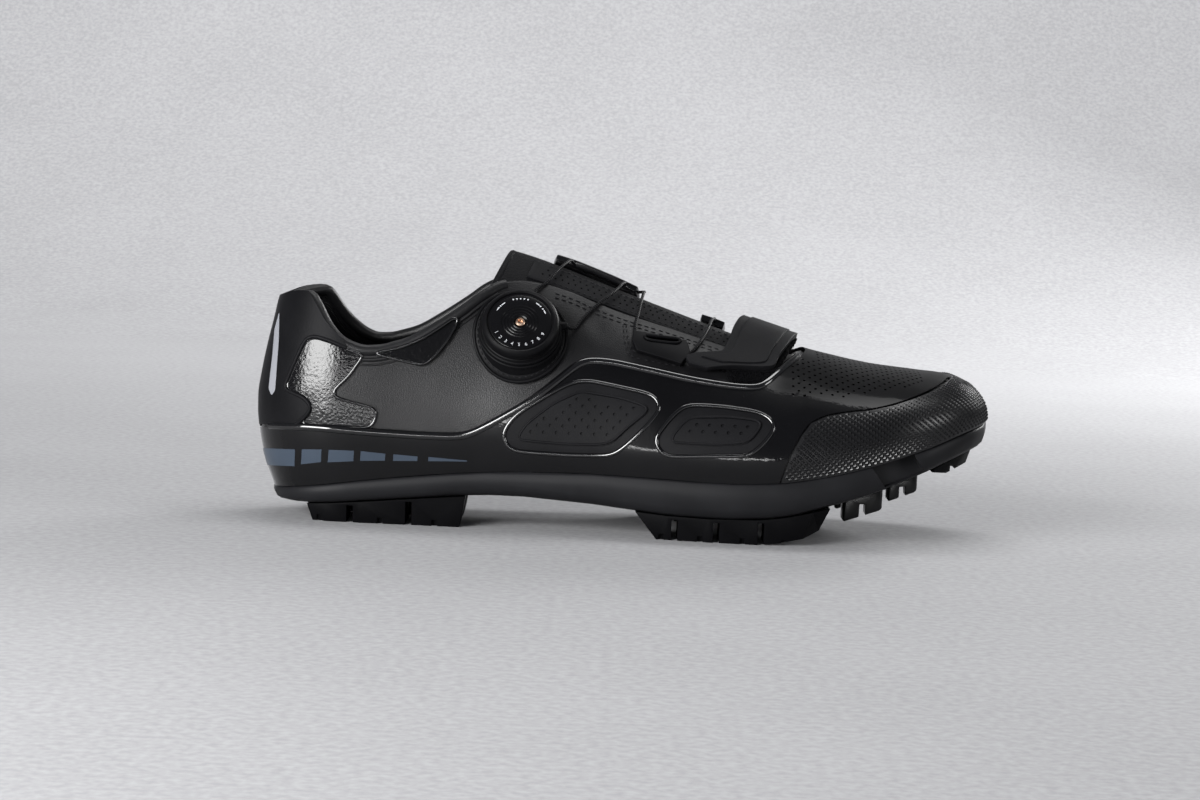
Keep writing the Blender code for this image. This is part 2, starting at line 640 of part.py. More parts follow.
def make_sole(group, helpers, finish):
    """The moulded sole: side band, waist, toe notches and the pocket for the cleat."""
    rings = []
    for along in STATIONS:
        low, high = underside(along), feather_height(along)
        tall = high - low
        steps = ((-BAND_TUCK, low), (-BAND_TUCK * 0.2, low + tall * 0.08),
                 (BAND_PROUD * 0.7, low + tall * 0.30), (BAND_PROUD, low + tall * 0.62),
                 (BAND_PROUD * 0.95, high - 0.0008), (BAND_PROUD * 0.55, high))
        sides = []
        for side in (LATERAL, MEDIAL):
            flat = [(plan_point(side, along, out), z) for out, z in steps]
            sides.append([Vector((spot.x, spot.y, z)) for spot, z in flat])
        middle = (sides[0][0] + sides[1][0]) / 2
        width = min(abs(sides[0][0].y - sides[1][0].y) / BALL_WIDTH, 1.0)
        middle.z += UNDER["arch"](along) * SOLE_HEIGHT * width
        rings.append(sides[0] + sides[1][::-1] + [middle])
    points, faces = loft(rings, close_ends=False)
    sole = mesh_object("sole", points, faces, group)
    sole.data.materials.append(finish)
    cutters = [side_box(f"toe_notch_{side}", side, TOE_NOTCH, TOE_NOTCH_DEPTH, helpers)
               for side in (LATERAL, MEDIAL)]
    top = UNDER["underside"](CLEAT_CENTRE) * SOLE_HEIGHT + CLEAT_POCKET_DEPTH
    axis = SECTION["axis"](CLEAT_CENTRE) * BALL_WIDTH
    centre = CLEAT_CENTRE * LENGTH
    cutters.append(box("cleat_pocket", centre, axis, (top - CUT_OVER) / 2, CLEAT_POCKET_LENGTH,
                       CLEAT_POCKET_WIDTH, top + CUT_OVER, helpers))
    for side in (-1, 1):
        cutters.append(box(f"cleat_slot_{side}", centre, axis + side * CLEAT_SLOT_GAP / 2,
                           top, CLEAT_SLOT_LENGTH, CLEAT_SLOT_WIDTH, 2 * CLEAT_SLOT_DEPTH,
                           helpers))
    for cutter in cutters:
        cut(sole, cutter)
    return shade(sole, 50)


def box(name, x, y, z, length, width, height, helpers):
    """A box-shaped cutter about a centre."""
    bpy.ops.mesh.primitive_cube_add(size=1, location=(x, y, z))
    cutter = bpy.context.object
    cutter.name = name
    cutter.data.transform(Matrix.Diagonal((length, width, height, 1)))
    for group in list(cutter.users_collection):
        group.objects.unlink(cutter)
    helpers.objects.link(cutter)
    cutter.hide_render = True
    cutter.display_type = "WIRE"
    return cutter


def side_box(name, side, outline, depth, helpers):
    """A cutter with a side outline that reaches a depth into the sole's rim."""
    rings = []
    for out in (-depth, 2 * CUT_OVER):
        ring = []
        for along, up in outline:
            spot = plan_point(side, along, out)
            ring.append(Vector((along * LENGTH, spot.y, up * pattern_height())))
        rings.append(ring)
    points, faces = loft(rings)
    cutter = mesh_object(name, points, faces, helpers)
    cutter.hide_render = True
    cutter.display_type = "WIRE"
    return cutter


def tread_ring(side, root, foot, cutback, bottom, top):
    """One section of a tread strip."""
    outer_top = plan_point(side, root, -TREAD_INSET)
    outer_foot = plan_point(side, foot, -TREAD_INSET - TREAD_TAPER)
    axis = SECTION["axis"](root) * BALL_WIDTH
    inner = axis + side * max(abs(outer_top.y - axis) - TREAD_WIDTH, TREAD_GAP / 2)
    outer_y = outer_foot.y - side * cutback * TREAD_WIDTH
    return [Vector((outer_top.x, outer_top.y, top)), Vector((outer_foot.x, outer_y, bottom)),
            Vector((outer_foot.x, inner, bottom)), Vector((outer_top.x, inner, top))]


def make_strip(name, side, rows, grooves, nicks, group, helpers, finish):
    """A run of tread lugs: one rubber strip with grooves across it and nicks in its side."""
    rings = []
    for root, foot, cutback, lift in rows:
        top = underside(root) - CLEARANCE
        rings.append(tread_ring(side, root, foot, cutback, lift * SOLE_HEIGHT, top))
    points, faces = loft(rings)
    strip = mesh_object(name, points, faces, group)
    strip.data.materials.append(finish)
    for number, along in enumerate(grooves):
        roof = underside(along) - CLEARANCE - GROOVE_ROOF
        cut(strip, box(f"{name}_groove_{number}", along * LENGTH, side * BALL_WIDTH * 0.41,
                       (roof - CUT_OVER) / 2, GROOVE_WIDTH, BALL_WIDTH * 0.80,
                       roof + CUT_OVER, helpers))
    for number, along in enumerate(nicks):
        spot = plan_point(side, along, -TREAD_INSET)
        cut(strip, box(f"{name}_nick_{number}", along * LENGTH, spot.y, 0.0,
                       NICK_SIZE, 2 * NICK_DEPTH, 2 * NICK_HEIGHT, helpers))
    return shade(strip, 30)


def make_toe_tread(name, side, group, helpers, finish):
    """The tread pad under the toe tip."""
    rings = []
    for along in TOE_STRIP:
        low = underside(along) - CLEARANCE
        ends = 0.35 if along == TOE_STRIP[0] else 1.0
        ring = tread_ring(side, along, along, 0.0, low - TOE_TREAD_DEPTH * ends, low)
        rings.append(ring)
    points, faces = loft(rings)
    pad = mesh_object(name, points, faces, group)
    pad.data.materials.append(finish)
    slot = TOE_STRIP[1]
    roof = underside(slot) - CLEARANCE - TOE_TREAD_DEPTH * 0.45
    cut(pad, box(f"{name}_slot", slot * LENGTH, side * BALL_WIDTH * 0.41, roof - CUT_OVER / 2,
                 NICK_SIZE, BALL_WIDTH * 0.80, CUT_OVER, helpers))
    return shade(pad, 30)


def make_stud(name, side, along, aside, length, width, depth, group, helpers, finish):
    """A slotted stud block that follows the slope under the toe."""
    axis = SECTION["axis"](along) * BALL_WIDTH
    centre = axis + side * aside * BALL_WIDTH
    rings = []
    for drop in (0.0, 1.0):
        ring = []
        for dx, dy in ((-1, -1), (1, -1), (1, 1), (-1, 1)):
            at = along + dx * length / 2 / LENGTH
            ring.append(Vector((at * LENGTH, centre + dy * width / 2,
                                underside(at) - CLEARANCE - drop * depth)))
        rings.append(ring)
    points, faces = loft(rings)
    stud = mesh_object(name, points, faces, group)
    stud.data.materials.append(finish)
    soft = stud.modifiers.new("Soft", "BEVEL")
    soft.width = STUD_EDGE
    soft.segments = 2
    baked(stud)
    cut(stud, box(f"{name}_slot", along * LENGTH, centre, underside(along) - depth,
                  GROOVE_WIDTH, width * 2, depth * 0.9, helpers))
    return shade(stud, 30)


def slab(name, rows, thickness, group, finish, outwards=True, extra=None):
    """A closed sheet from a grid of points: rows of columns."""
    count = len(rows[0])
    points = [point for row in rows for point in row]
    faces = [(i * count + j, i * count + j + 1, (i + 1) * count + j + 1, (i + 1) * count + j)
             for i in range(len(rows) - 1) for j in range(count - 1)]
    mesh = bpy.data.meshes.new(name)
    mesh.from_pydata([tuple(p) for p in points], [], faces)
    sheet = add_object(name, mesh, group)
    work = bmesh.new()
    work.from_mesh(mesh)
    bmesh.ops.recalc_face_normals(work, faces=work.faces)
    work.normal_update()
    if sum(face.normal.z * face.calc_area() for face in work.faces) < 0:
        bmesh.ops.reverse_faces(work, faces=work.faces)
    work.to_mesh(mesh)
    work.free()
    thicken(sheet, thickness, outwards)
    sheet.data.materials.append(finish)
    return shade(sheet, 50)


def make_insole(group, finish):
    """The insole board that lies on the sole inside the upper."""
    rings = []
    for along in INSOLE_STATIONS:
        ring = []
        inset = WALL + 2 * CLEARANCE + 0.0006
        for out, up in ((0.0, 0.0), (0.0, 1.0)):
            for side in ((LATERAL, MEDIAL) if up == 0 else (MEDIAL, LATERAL)):
                spot = plan_point(side, along, -inset - out)
                z = feather_height(spot.x / LENGTH) + CLEARANCE + up * INSOLE_THICKNESS
                ring.append(Vector((spot.x, spot.y, z)))
        rings.append(ring)
    points, faces = loft(rings)
    insole = mesh_object("insole", points, faces, group, finish)
    return shade(insole)


def make_tongue(group, finish):
    """The tongue: a sheet under the throat that stands up behind it."""
    above = -(WALL + 2 * CLEARANCE)
    rows = []
    for step in range(TONGUE_ROWS + 1):
        share = step / TONGUE_ROWS
        row = []
        for column in range(-TONGUE_COLUMNS, TONGUE_COLUMNS + 1):
            turn = TONGUE_REACH * column / TONGUE_COLUMNS
            rear = TONGUE_TOP - TONGUE_SWEEP * (column / TONGUE_COLUMNS) ** 2
            along = TONGUE_FRONT + (rear - TONGUE_FRONT) * share
            row.append(over_last(along, turn, above))
        rows.append(row)
    return slab("tongue", rows, TONGUE_THICKNESS, group, finish, outwards=False)


def make_strap(group, finish):
    """The hook-and-loop strap from the medial side over the throat."""
    rows = []
    for turn, rear, front, above in STRAP:
        rows.append([over_last(rear + (front - rear) * i / 4, turn, above) for i in range(5)])
    return slab("strap", rows, STRAP_THICKNESS, group, finish)


def make_hook_patch(group, finish):
    """The fabric patch on the lateral side that the strap's hooks hold on to."""
    rows = []
    for turn, rear, front in HOOK_PATCH:
        rows.append([over_last(rear + (front - rear) * i / 3, turn, SEAT) for i in range(4)])
    return slab("hook_patch", rows, PATCH_THICKNESS, group, finish)


def dial_frame():
    """Centre of the dial on the last and its three directions: along, up the disc, outwards."""
    centre = last_point(LATERAL, DIAL_ALONG, DIAL_ROWS)
    out = Vector((0, -math.cos(DIAL_LEAN), math.sin(DIAL_LEAN)))
    ahead = Vector((1, 0, 0))
    return centre, ahead, out.cross(ahead).normalized() * -1, out


def on_last_below(place, direction):
    """The lateral point of the last that lies on a line, found by a few Newton steps."""
    along, rows = DIAL_ALONG, DIAL_ROWS
    first = direction.orthogonal().normalized()
    second = direction.cross(first)
    for _ in range(12):
        here = last_point(LATERAL, along, rows) - place
        off = (here.dot(first), here.dot(second))
        step = 1e-4
        da = last_point(LATERAL, along + step, rows) - place - here
        dr = last_point(LATERAL, along, rows + step) - place - here
        a, b = da.dot(first) / step, dr.dot(first) / step
        c, d = da.dot(second) / step, dr.dot(second) / step
        det = a * d - b * c
        along -= (d * off[0] - b * off[1]) / det
        rows -= (a * off[1] - c * off[0]) / det
        rows = min(max(rows, 0.05), 0.98)
    return last_point(LATERAL, along, rows)


def dial_point(radius, angle, height=None, lift=0.0):
    """A point in the dial's frame: at a height, or on the last's surface with a lift."""
    centre, ahead, up, out = dial_frame()
    flat = centre + ahead * radius * math.cos(angle) + up * radius * math.sin(angle)
    if height is not None:
        return flat + out * height
    return on_last_below(flat, out) + out * lift


def make_dial_base(group, finish):
    """The dial's flange and housing, whose foot follows the upper."""
    foot = SEAT
    flange = foot + DIAL_FLANGE_THICKNESS
    angles = [2 * math.pi * i / DIAL_SIDES for i in range(DIAL_SIDES)]
    rings = [
        [dial_point(DIAL_FLANGE_RADIUS * 0.40, a, lift=foot) for a in angles],
        [dial_point(DIAL_FLANGE_RADIUS * 0.75, a, lift=foot) for a in angles],
        [dial_point(DIAL_FLANGE_RADIUS, a, lift=foot) for a in angles],
        [dial_point(DIAL_FLANGE_RADIUS, a, lift=flange - 0.0006) for a in angles],
        [dial_point(DIAL_FLANGE_RADIUS - 0.0008, a, lift=flange) for a in angles],
        [dial_point(DIAL_HOUSING_RADIUS + 0.0006, a, lift=flange) for a in angles],
        [dial_point(DIAL_HOUSING_RADIUS, a, height=DIAL_SEAT - 0.0010) for a in angles],
        [dial_point(DIAL_HOUSING_RADIUS - 0.0006, a, height=DIAL_SEAT) for a in angles],
    ]
    points, faces = loft(rings)
    base = mesh_object("dial_base", points, faces, group, finish)
    return shade(base, 35)


def turned(name, profile, group, finish, closed=False):
    """A body turned about the dial's axis from a (radius, height) profile, top to bottom."""
    count = len(profile)
    edges = [(i, i + 1) for i in range(count - 1)] + ([(count - 1, 0)] if closed else [])
    mesh = bpy.data.meshes.new(name)
    mesh.from_pydata([(radius, 0, height) for radius, height in profile], edges, [])
    body = add_object(name, mesh, group)
    screw = body.modifiers.new("Turn", "SCREW")
    screw.steps = DIAL_SIDES
    screw.render_steps = DIAL_SIDES
    screw.use_merge_vertices = True
    screw.merge_threshold = 0.00001
    baked(body)
    centre, ahead, up, out = dial_frame()
    turn = Matrix((ahead, up, out)).transposed().to_4x4()
    body.data.transform(Matrix.Translation(centre) @ turn)
    work = bmesh.new()
    work.from_mesh(body.data)
    bmesh.ops.recalc_face_normals(work, faces=work.faces)
    work.to_mesh(body.data)
    work.free()
    body.data.materials.clear()
    body.data.materials.append(finish)
    return shade(body, 30)


def make_dial(group, knob, metal):
    """The turning knob and its centre screw."""
    low = DIAL_SEAT + CLEARANCE
    high = low + DIAL_KNOB_HEIGHT
    hole = DIAL_SCREW_RADIUS + CLEARANCE
    turned("dial_knob", (
        (hole, high - 0.0014), (DIAL_KNOB_RADIUS * 0.45, high - 0.0006),
        (DIAL_KNOB_RADIUS * 0.80, high), (DIAL_KNOB_RADIUS - 0.0010, high - 0.0006),
        (DIAL_KNOB_RADIUS, high - 0.0016), (DIAL_KNOB_RADIUS, low), (hole, low)),
        group, knob, closed=True)
    turned("dial_screw", (
        (0.0, high - 0.0006), (DIAL_SCREW_RADIUS * 0.8, high - 0.0006),
        (DIAL_SCREW_RADIUS, high - 0.0009), (DIAL_SCREW_RADIUS, low), (0.0, low)), group, metal)


def lace_points(places):
    """The middle line of a run of the lace, which starts inside the dial's housing."""
    route = [over_last(*place) for place in places]
    centre, ahead, up, out = dial_frame()
    arm = route[0] - centre
    angle = math.atan2(arm.dot(up), arm.dot(ahead))
    start = [dial_point(DIAL_HOUSING_RADIUS + out, angle, height=LACE_EXIT_HEIGHT)
             for out in (-LACE_HOLD, -LACE_HOLD / 3, LACE_HOLD / 3)]
    return start + route


def smooth_route(points, spacing):
    """Evenly spaced points on a smooth curve through the given ones."""
    lengths = [0.0]
    for before, after in zip(points, points[1:]):
        lengths.append(lengths[-1] + (after - before).length)
    curves = [curve_through(lengths, [point[axis] for point in points]) for axis in range(3)]
    count = max(round(lengths[-1] / spacing), 2)
    places = [lengths[-1] * i / count for i in range(count + 1)]
    return [Vector([curve(place) for curve in curves]) for place in places]


def cord(name, points, radius, group, finish=None):
    """A round cord through points, closed at its ends."""
    curve = bpy.data.curves.new(name, "CURVE")
    curve.dimensions = "3D"
    curve.bevel_depth = radius
    curve.bevel_resolution = 1
    curve.use_fill_caps = True
    route = smooth_route(points, LACE_STEP)
    spline = curve.splines.new("POLY")
    spline.points.add(len(route) - 1)
    for knot, place in zip(spline.points, route):
        knot.co = (*place, 1)
    obj = bpy.data.objects.new(name, curve)
    group.objects.link(obj)
    bpy.context.view_layer.update()
    graph = bpy.context.evaluated_depsgraph_get()
    mesh = bpy.data.meshes.new_from_object(obj.evaluated_get(graph))
    group.objects.unlink(obj)
    bpy.data.objects.remove(obj)
    work = bmesh.new()
    work.from_mesh(mesh)
    bmesh.ops.remove_doubles(work, verts=work.verts, dist=1e-6)
    bmesh.ops.recalc_face_normals(work, faces=work.faces)
    work.to_mesh(mesh)
    work.free()
    made = add_object(name, mesh, group, finish)
    return shade(made)


def make_guides(group, finish):
    """The plates that the lace turns through."""
    plates = []
    for name, outline in (("guide_lateral", SIDE_GUIDE), ("guide_medial_rear", REAR_GUIDE),
                          ("guide_medial_front", FRONT_GUIDE)):
        rows = [[over_last(along, turn, SEAT) for along, turn in row] for row in outline]
        plates.append(slab(name, rows, GUIDE_THICKNESS, group, finish))
    return plates


def make_lace(group, helpers, finish, holders):
    """Both runs of the lace, and the bores for them in the dial's base and the guides."""
    for name, places in (("lace_rear", LACE_REAR), ("lace_front", LACE_FRONT)):
        points = lace_points(places)
        cord(name, points, LACE_DIAMETER / 2, group, finish)
        bore = cord(f"{name}_bore", points, LACE_DIAMETER / 2 + CLEARANCE, helpers)
        bore.hide_render = True
        bore.display_type = "WIRE"
        for holder in holders:
            cut(holder, bore, bent=True)


def main():
    remove_startup_objects()
    shoe = collection_named("cycling_shoe")
    helpers = collection_named("cutters")
    matte = material("matte_leather", (0.018, 0.018, 0.020), 0.55)
    gloss = material("patent", (0.006, 0.006, 0.008), 0.12)
    band = material("moulded_band", (0.045, 0.046, 0.050), 0.50)
    rubber = material("tread_rubber", (0.016, 0.016, 0.017), 0.65)
    fabric = material("lining_fabric", (0.020, 0.020, 0.022), 0.90)
    plastic = material("dial_plastic", (0.020, 0.020, 0.022), 0.30)
    brass = material("screw_brass", (0.60, 0.45, 0.33), 0.30, metallic=1.0)
    make_upper(shoe, matte)
    whole_overlay("guard", GUARD, (REAR_WINDOW, FRONT_WINDOW), shoe, helpers, gloss)
    whole_overlay("toe_cap", TOE_CAP, (), shoe, helpers, matte)
    whole_overlay("heel_counter", HEEL_COUNTER, (), shoe, helpers, matte)
    for side, word in ((LATERAL, "lateral"), (MEDIAL, "medial")):
        overlay(f"heel_patch_{word}", HEEL_PATCH, side, shoe, helpers, gloss, PANEL)
        overlay(f"collar_patch_{word}", COLLAR_PATCH, side, shoe, helpers, gloss, PANEL)
    make_sole(shoe, helpers, band)
    make_insole(shoe, fabric)
    make_tongue(shoe, matte)
    for side, word in ((LATERAL, "lateral"), (MEDIAL, "medial")):
        make_strip(f"heel_tread_{word}", side, HEEL_STRIP, HEEL_GROOVES, HEEL_NICKS, shoe,
                   helpers, rubber)
        make_strip(f"fore_tread_{word}", side, FORE_STRIP, FORE_GROOVES, FORE_NICKS, shoe,
                   helpers, rubber)
        make_toe_tread(f"toe_tread_{word}", side, shoe, helpers, rubber)
        for number, row in enumerate(STUDS, start=1):
            make_stud(f"stud_{number}_{word}", side, *row, shoe, helpers, rubber)
    make_strap(shoe, matte)
    make_hook_patch(shoe, fabric)
    base = make_dial_base(shoe, plastic)
    make_dial(shoe, plastic, brass)
    make_lace(shoe, helpers, plastic, [base] + make_guides(shoe, plastic))
    stand_on_origin(shoe)


def stand_on_origin(group):
    """Hangs every piece on an empty, so that the origin is under the middle of the shoe."""
    corners = [vert.co for obj in group.objects for vert in obj.data.vertices]
    middle = [(min(c[axis] for c in corners) + max(c[axis] for c in corners)) / 2
              for axis in range(2)]
    lowest = min(c.z for c in corners)
    pieces = list(group.objects)
    origin = bpy.data.objects.new("shoe_origin", None)
    group.objects.link(origin)
    origin.location = (-middle[0], -middle[1], -lowest)
    for piece in pieces:
        piece.parent = origin


main()
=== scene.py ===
"""Looks of a right-foot cycling shoe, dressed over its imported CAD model.

Heel at -X, toe at +X, the lateral side at -Y and the floor at Z = 0, in metres. Every panel is
worked out from one last, so that the pieces follow each other.
"""

from __future__ import annotations

import bisect
import logging
import math
import random
from contextlib import contextmanager
from dataclasses import dataclass, field
from enum import Enum
from typing import Callable, Iterable, Iterator, Sequence

import bpy
from mathutils import Matrix, Vector

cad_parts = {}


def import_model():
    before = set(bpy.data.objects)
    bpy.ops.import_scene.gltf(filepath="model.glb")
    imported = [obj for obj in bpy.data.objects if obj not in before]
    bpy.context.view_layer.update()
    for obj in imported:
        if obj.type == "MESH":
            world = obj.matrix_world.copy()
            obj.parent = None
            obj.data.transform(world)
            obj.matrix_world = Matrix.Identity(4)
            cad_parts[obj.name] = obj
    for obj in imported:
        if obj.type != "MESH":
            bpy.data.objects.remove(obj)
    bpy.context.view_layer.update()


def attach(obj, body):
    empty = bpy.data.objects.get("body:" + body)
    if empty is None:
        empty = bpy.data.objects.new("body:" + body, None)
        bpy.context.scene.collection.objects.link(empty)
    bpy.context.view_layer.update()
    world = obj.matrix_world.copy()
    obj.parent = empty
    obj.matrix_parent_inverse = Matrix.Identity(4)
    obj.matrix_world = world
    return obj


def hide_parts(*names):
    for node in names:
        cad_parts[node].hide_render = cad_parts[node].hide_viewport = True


LOG = logging.getLogger("shoe")
Place = tuple[float, float]
Curve = Callable[[float], float]

# Where the gloss over the toes turns to satin: axis, start and end.
FADE_REACH = (("X", 0.040, 0.062), ("Z", 0.046, 0.060))
SATIN_ROUGHNESS = 0.50
SATIN_COAT = 0.04
# A finish's mottling: noise scale per metre, and where the noise turns to its two colours.
MOTTLE_SCALE = 60.0
RAMP_PLACES = (0.35, 0.65)
# The slow waves under the patent grain.
WAVE_SCALE = 90.0
WAVE_STRENGTH = 0.22
WAVE_HEIGHT = 0.0008


class Side(Enum):
    """The two sides of the shoe, by the sign of their Y."""

    LATERAL = -1
    MEDIAL = 1


class Grain(Enum):
    """The relief that a finish carries."""

    PLAIN = "plain"
    LEATHER = "leather"
    PATENT = "patent"
    FABRIC = "fabric"
    RUBBER = "rubber"
    TWIST = "twist"


# ---------------------------------------------------------------- finishes


def noise_node(tree: bpy.types.NodeTree, spots: bpy.types.Node, scale: float,
               detail: float = 3.0) -> bpy.types.Node:
    """Adds a noise texture.

    Args:
        tree: the material's node tree.
        spots: the texture coordinate node.
        scale: the noise scale, per metre.
        detail: the noise detail.

    Returns:
        The noise node.
    """
    noise = tree.nodes.new("ShaderNodeTexNoise")
    noise.inputs["Scale"].default_value = scale
    noise.inputs["Detail"].default_value = detail
    tree.links.new(spots.outputs["Object"], noise.inputs["Vector"])
    return noise


def blend_colours(tree: bpy.types.NodeTree, share: bpy.types.NodeSocket,
                  shader: bpy.types.Node, colours: Sequence[Sequence[float]]) -> None:
    """Links a blend of two colours to a shader.

    Args:
        tree: the material's node tree.
        share: the socket that blends them.
        shader: the principled shader.
        colours: the two colours.
    """
    ramp = tree.nodes.new("ShaderNodeValToRGB")
    for i, colour in enumerate(colours):
        ramp.color_ramp.elements[i].position = RAMP_PLACES[i]
        ramp.color_ramp.elements[i].color = (*colour, 1)
    tree.links.new(share, ramp.inputs["Fac"])
    tree.links.new(ramp.outputs["Color"], shader.inputs["Base Color"])


@dataclass(frozen=True)
class Finish:
    """One surface finish, made once as a node material.

    Attributes:
        name: the material's name.
        colour: base colour, linear.
        roughness: roughness of the base.
        slot: the record's material slot that it belongs to; not used.
        grain: its relief.
        size: the relief's cell size in metres.
        depth: the bump's strength.
        coat: clear coat weight.
        coat_roughness: roughness of the coat.
        metallic: metallic value.
        sheen: sheen weight.
        mottle: how much the colour varies.
        specular: specular level.
        coat_ior: refraction of the coat.
        fades: whether the gloss turns to satin over the toes.
    """

    name: str
    colour: tuple[float, float, float]
    roughness: float
    slot: str
    grain: Grain = Grain.PLAIN
    size: float = 0.001
    depth: float = 0.2
    coat: float = 0.0
    coat_roughness: float = 0.05
    metallic: float = 0.0
    sheen: float = 0.0
    mottle: float = 0.15
    specular: float = 0.5
    coat_ior: float = 1.5
    fades: bool = False

    def material(self) -> bpy.types.Material:
        """Makes the material, or returns the one made before.

        Returns:
            The node material.
        """
        found = bpy.data.materials.get(f"{self.name}_finish")
        if found:
            return found
        made = bpy.data.materials.new(f"{self.name}_finish")
        made.use_nodes = True
        tree = made.node_tree
        shader = tree.nodes["Principled BSDF"]
        shader.inputs["Metallic"].default_value = self.metallic
        shader.inputs["Coat Weight"].default_value = self.coat
        shader.inputs["Coat Roughness"].default_value = self.coat_roughness
        shader.inputs["Coat IOR"].default_value = self.coat_ior
        shader.inputs["Sheen Weight"].default_value = self.sheen
        shader.inputs["Specular IOR Level"].default_value = self.specular
        spots = tree.nodes.new("ShaderNodeTexCoord")
        self._colour(tree, shader, spots)
        self._relief(tree, shader, spots)
        if self.fades:
            self._fade(tree, shader, spots)
        return made

    def _colour(self, tree: bpy.types.NodeTree, shader: bpy.types.Node,
                spots: bpy.types.Node) -> None:
        """Links the mottled colour and the slightly uneven roughness.

        Args:
            tree: the material's node tree.
            shader: the principled shader.
            spots: the texture coordinate node.
        """
        patchy = noise_node(tree, spots, MOTTLE_SCALE)
        blend_colours(tree, patchy.outputs["Fac"], shader,
                      [[c * (1 + turn * self.mottle) for c in self.colour] for turn in (-1, 1)])
        uneven = tree.nodes.new("ShaderNodeMapRange")
        uneven.inputs["To Min"].default_value = self.roughness * 0.9
        uneven.inputs["To Max"].default_value = self.roughness * 1.1
        tree.links.new(patchy.outputs["Fac"], uneven.inputs["Value"])
        tree.links.new(uneven.outputs["Result"], shader.inputs["Roughness"])

    def _fade(self, tree: bpy.types.NodeTree, shader: bpy.types.Node,
              spots: bpy.types.Node) -> None:
        """Turns the gloss to satin over the toes.

        Args:
            tree: the material's node tree.
            shader: the principled shader.
            spots: the texture coordinate node.
        """
        axes = tree.nodes.new("ShaderNodeSeparateXYZ")
        tree.links.new(spots.outputs["Object"], axes.inputs["Vector"])
        both = tree.nodes.new("ShaderNodeMath")
        both.operation = "MULTIPLY"
        for number, (axis, low, high) in enumerate(FADE_REACH):
            share = tree.nodes.new("ShaderNodeMapRange")
            share.interpolation_type = "SMOOTHSTEP"
            share.inputs["From Min"].default_value = low
            share.inputs["From Max"].default_value = high
            tree.links.new(axes.outputs[axis], share.inputs["Value"])
            tree.links.new(share.outputs["Result"], both.inputs[number])
        for socket, gloss, satin in (("Roughness", self.roughness, SATIN_ROUGHNESS),
                                     ("Coat Weight", self.coat, SATIN_COAT)):
            mix = tree.nodes.new("ShaderNodeMapRange")
            mix.inputs["To Min"].default_value = gloss
            mix.inputs["To Max"].default_value = satin
            tree.links.new(both.outputs["Value"], mix.inputs["Value"])
            tree.links.new(mix.outputs["Result"], shader.inputs[socket])

    def _relief(self, tree: bpy.types.NodeTree, shader: bpy.types.Node,
                spots: bpy.types.Node) -> None:
        """Adds the bump that the grain asks for.

        Args:
            tree: the material's node tree.
            shader: the principled shader.
            spots: the texture coordinate node.
        """
        if self.grain is Grain.PLAIN:
            return
        bump = tree.nodes.new("ShaderNodeBump")
        bump.inputs["Strength"].default_value = self.depth
        bump.inputs["Distance"].default_value = self.size * 0.25
        if self.grain is Grain.LEATHER:
            cells = tree.nodes.new("ShaderNodeTexVoronoi")
            cells.feature = "DISTANCE_TO_EDGE"
            cells.inputs["Scale"].default_value = 1 / self.size
            tree.links.new(spots.outputs["Object"], cells.inputs["Vector"])
            soft = tree.nodes.new("ShaderNodeMapRange")
            soft.inputs["From Max"].default_value = 0.25
            tree.links.new(cells.outputs["Distance"], soft.inputs["Value"])
            height = soft.outputs["Result"]
        elif self.grain is Grain.FABRIC:
            weave = tree.nodes.new("ShaderNodeTexVoronoi")
            weave.inputs["Scale"].default_value = 1 / self.size
            weave.inputs["Randomness"].default_value = 0.25
            tree.links.new(spots.outputs["Object"], weave.inputs["Vector"])
            height = weave.outputs["Distance"]
        elif self.grain is Grain.TWIST:
            wave = tree.nodes.new("ShaderNodeTexWave")
            wave.bands_direction = "DIAGONAL"
            wave.inputs["Scale"].default_value = 0.3 / self.size
            tree.links.new(spots.outputs["Object"], wave.inputs["Vector"])
            height = wave.outputs["Fac"]
        else:
            height = noise_node(tree, spots, 1 / self.size, 4.0).outputs["Fac"]
        if self.grain is Grain.PATENT:
            waves = tree.nodes.new("ShaderNodeBump")
            waves.inputs["Strength"].default_value = WAVE_STRENGTH
            waves.inputs["Distance"].default_value = WAVE_HEIGHT
            slow = noise_node(tree, spots, WAVE_SCALE, 1.0)
            tree.links.new(slow.outputs["Fac"], waves.inputs["Height"])
            tree.links.new(waves.outputs["Normal"], bump.inputs["Normal"])
        tree.links.new(height, bump.inputs["Height"])
        tree.links.new(bump.outputs["Normal"], shader.inputs["Normal"])
        if self.grain is Grain.PATENT:
            tree.links.new(bump.outputs["Normal"], shader.inputs["Coat Normal"])


MATTE = Finish("matte_leather", (0.0045, 0.0045, 0.0051), 0.40, "matte_leather", Grain.LEATHER,
               0.0008, 0.20, specular=0.28)
CUP = Finish("heel_leather", (0.0045, 0.0045, 0.0052), 0.46, "matte_leather", Grain.LEATHER,
             0.0008, 0.12, specular=0.06)
TONGUE = Finish("tongue_leather", (0.0050, 0.0050, 0.0057), 0.50, "tongue_leather",
                Grain.LEATHER, 0.0010, 0.30, specular=0.06)
STRAP = Finish("strap_leather", (0.0060, 0.0060, 0.0068), 0.52, "strap_leather", Grain.LEATHER,
               0.0008, 0.18, specular=0.07)
PATENT = Finish("patent", (0.0016, 0.0016, 0.0020), 0.30, "patent", Grain.PATENT, 0.0011, 0.50,
                coat=1.0, coat_roughness=0.03, specular=0.05, coat_ior=1.40)
GUARD_GLOSS = Finish("guard_patent", (0.0020, 0.0020, 0.0024), 0.30, "patent", Grain.PATENT,
                     0.0011, 0.12, coat=1.0, coat_roughness=0.03, specular=0.05, coat_ior=1.33,
                     fades=True)
RIM = Finish("rim_patent", (0.0020, 0.0020, 0.0024), 0.30, "patent", Grain.PLAIN,
             coat=1.0, coat_roughness=0.10, specular=0.05, coat_ior=1.70)
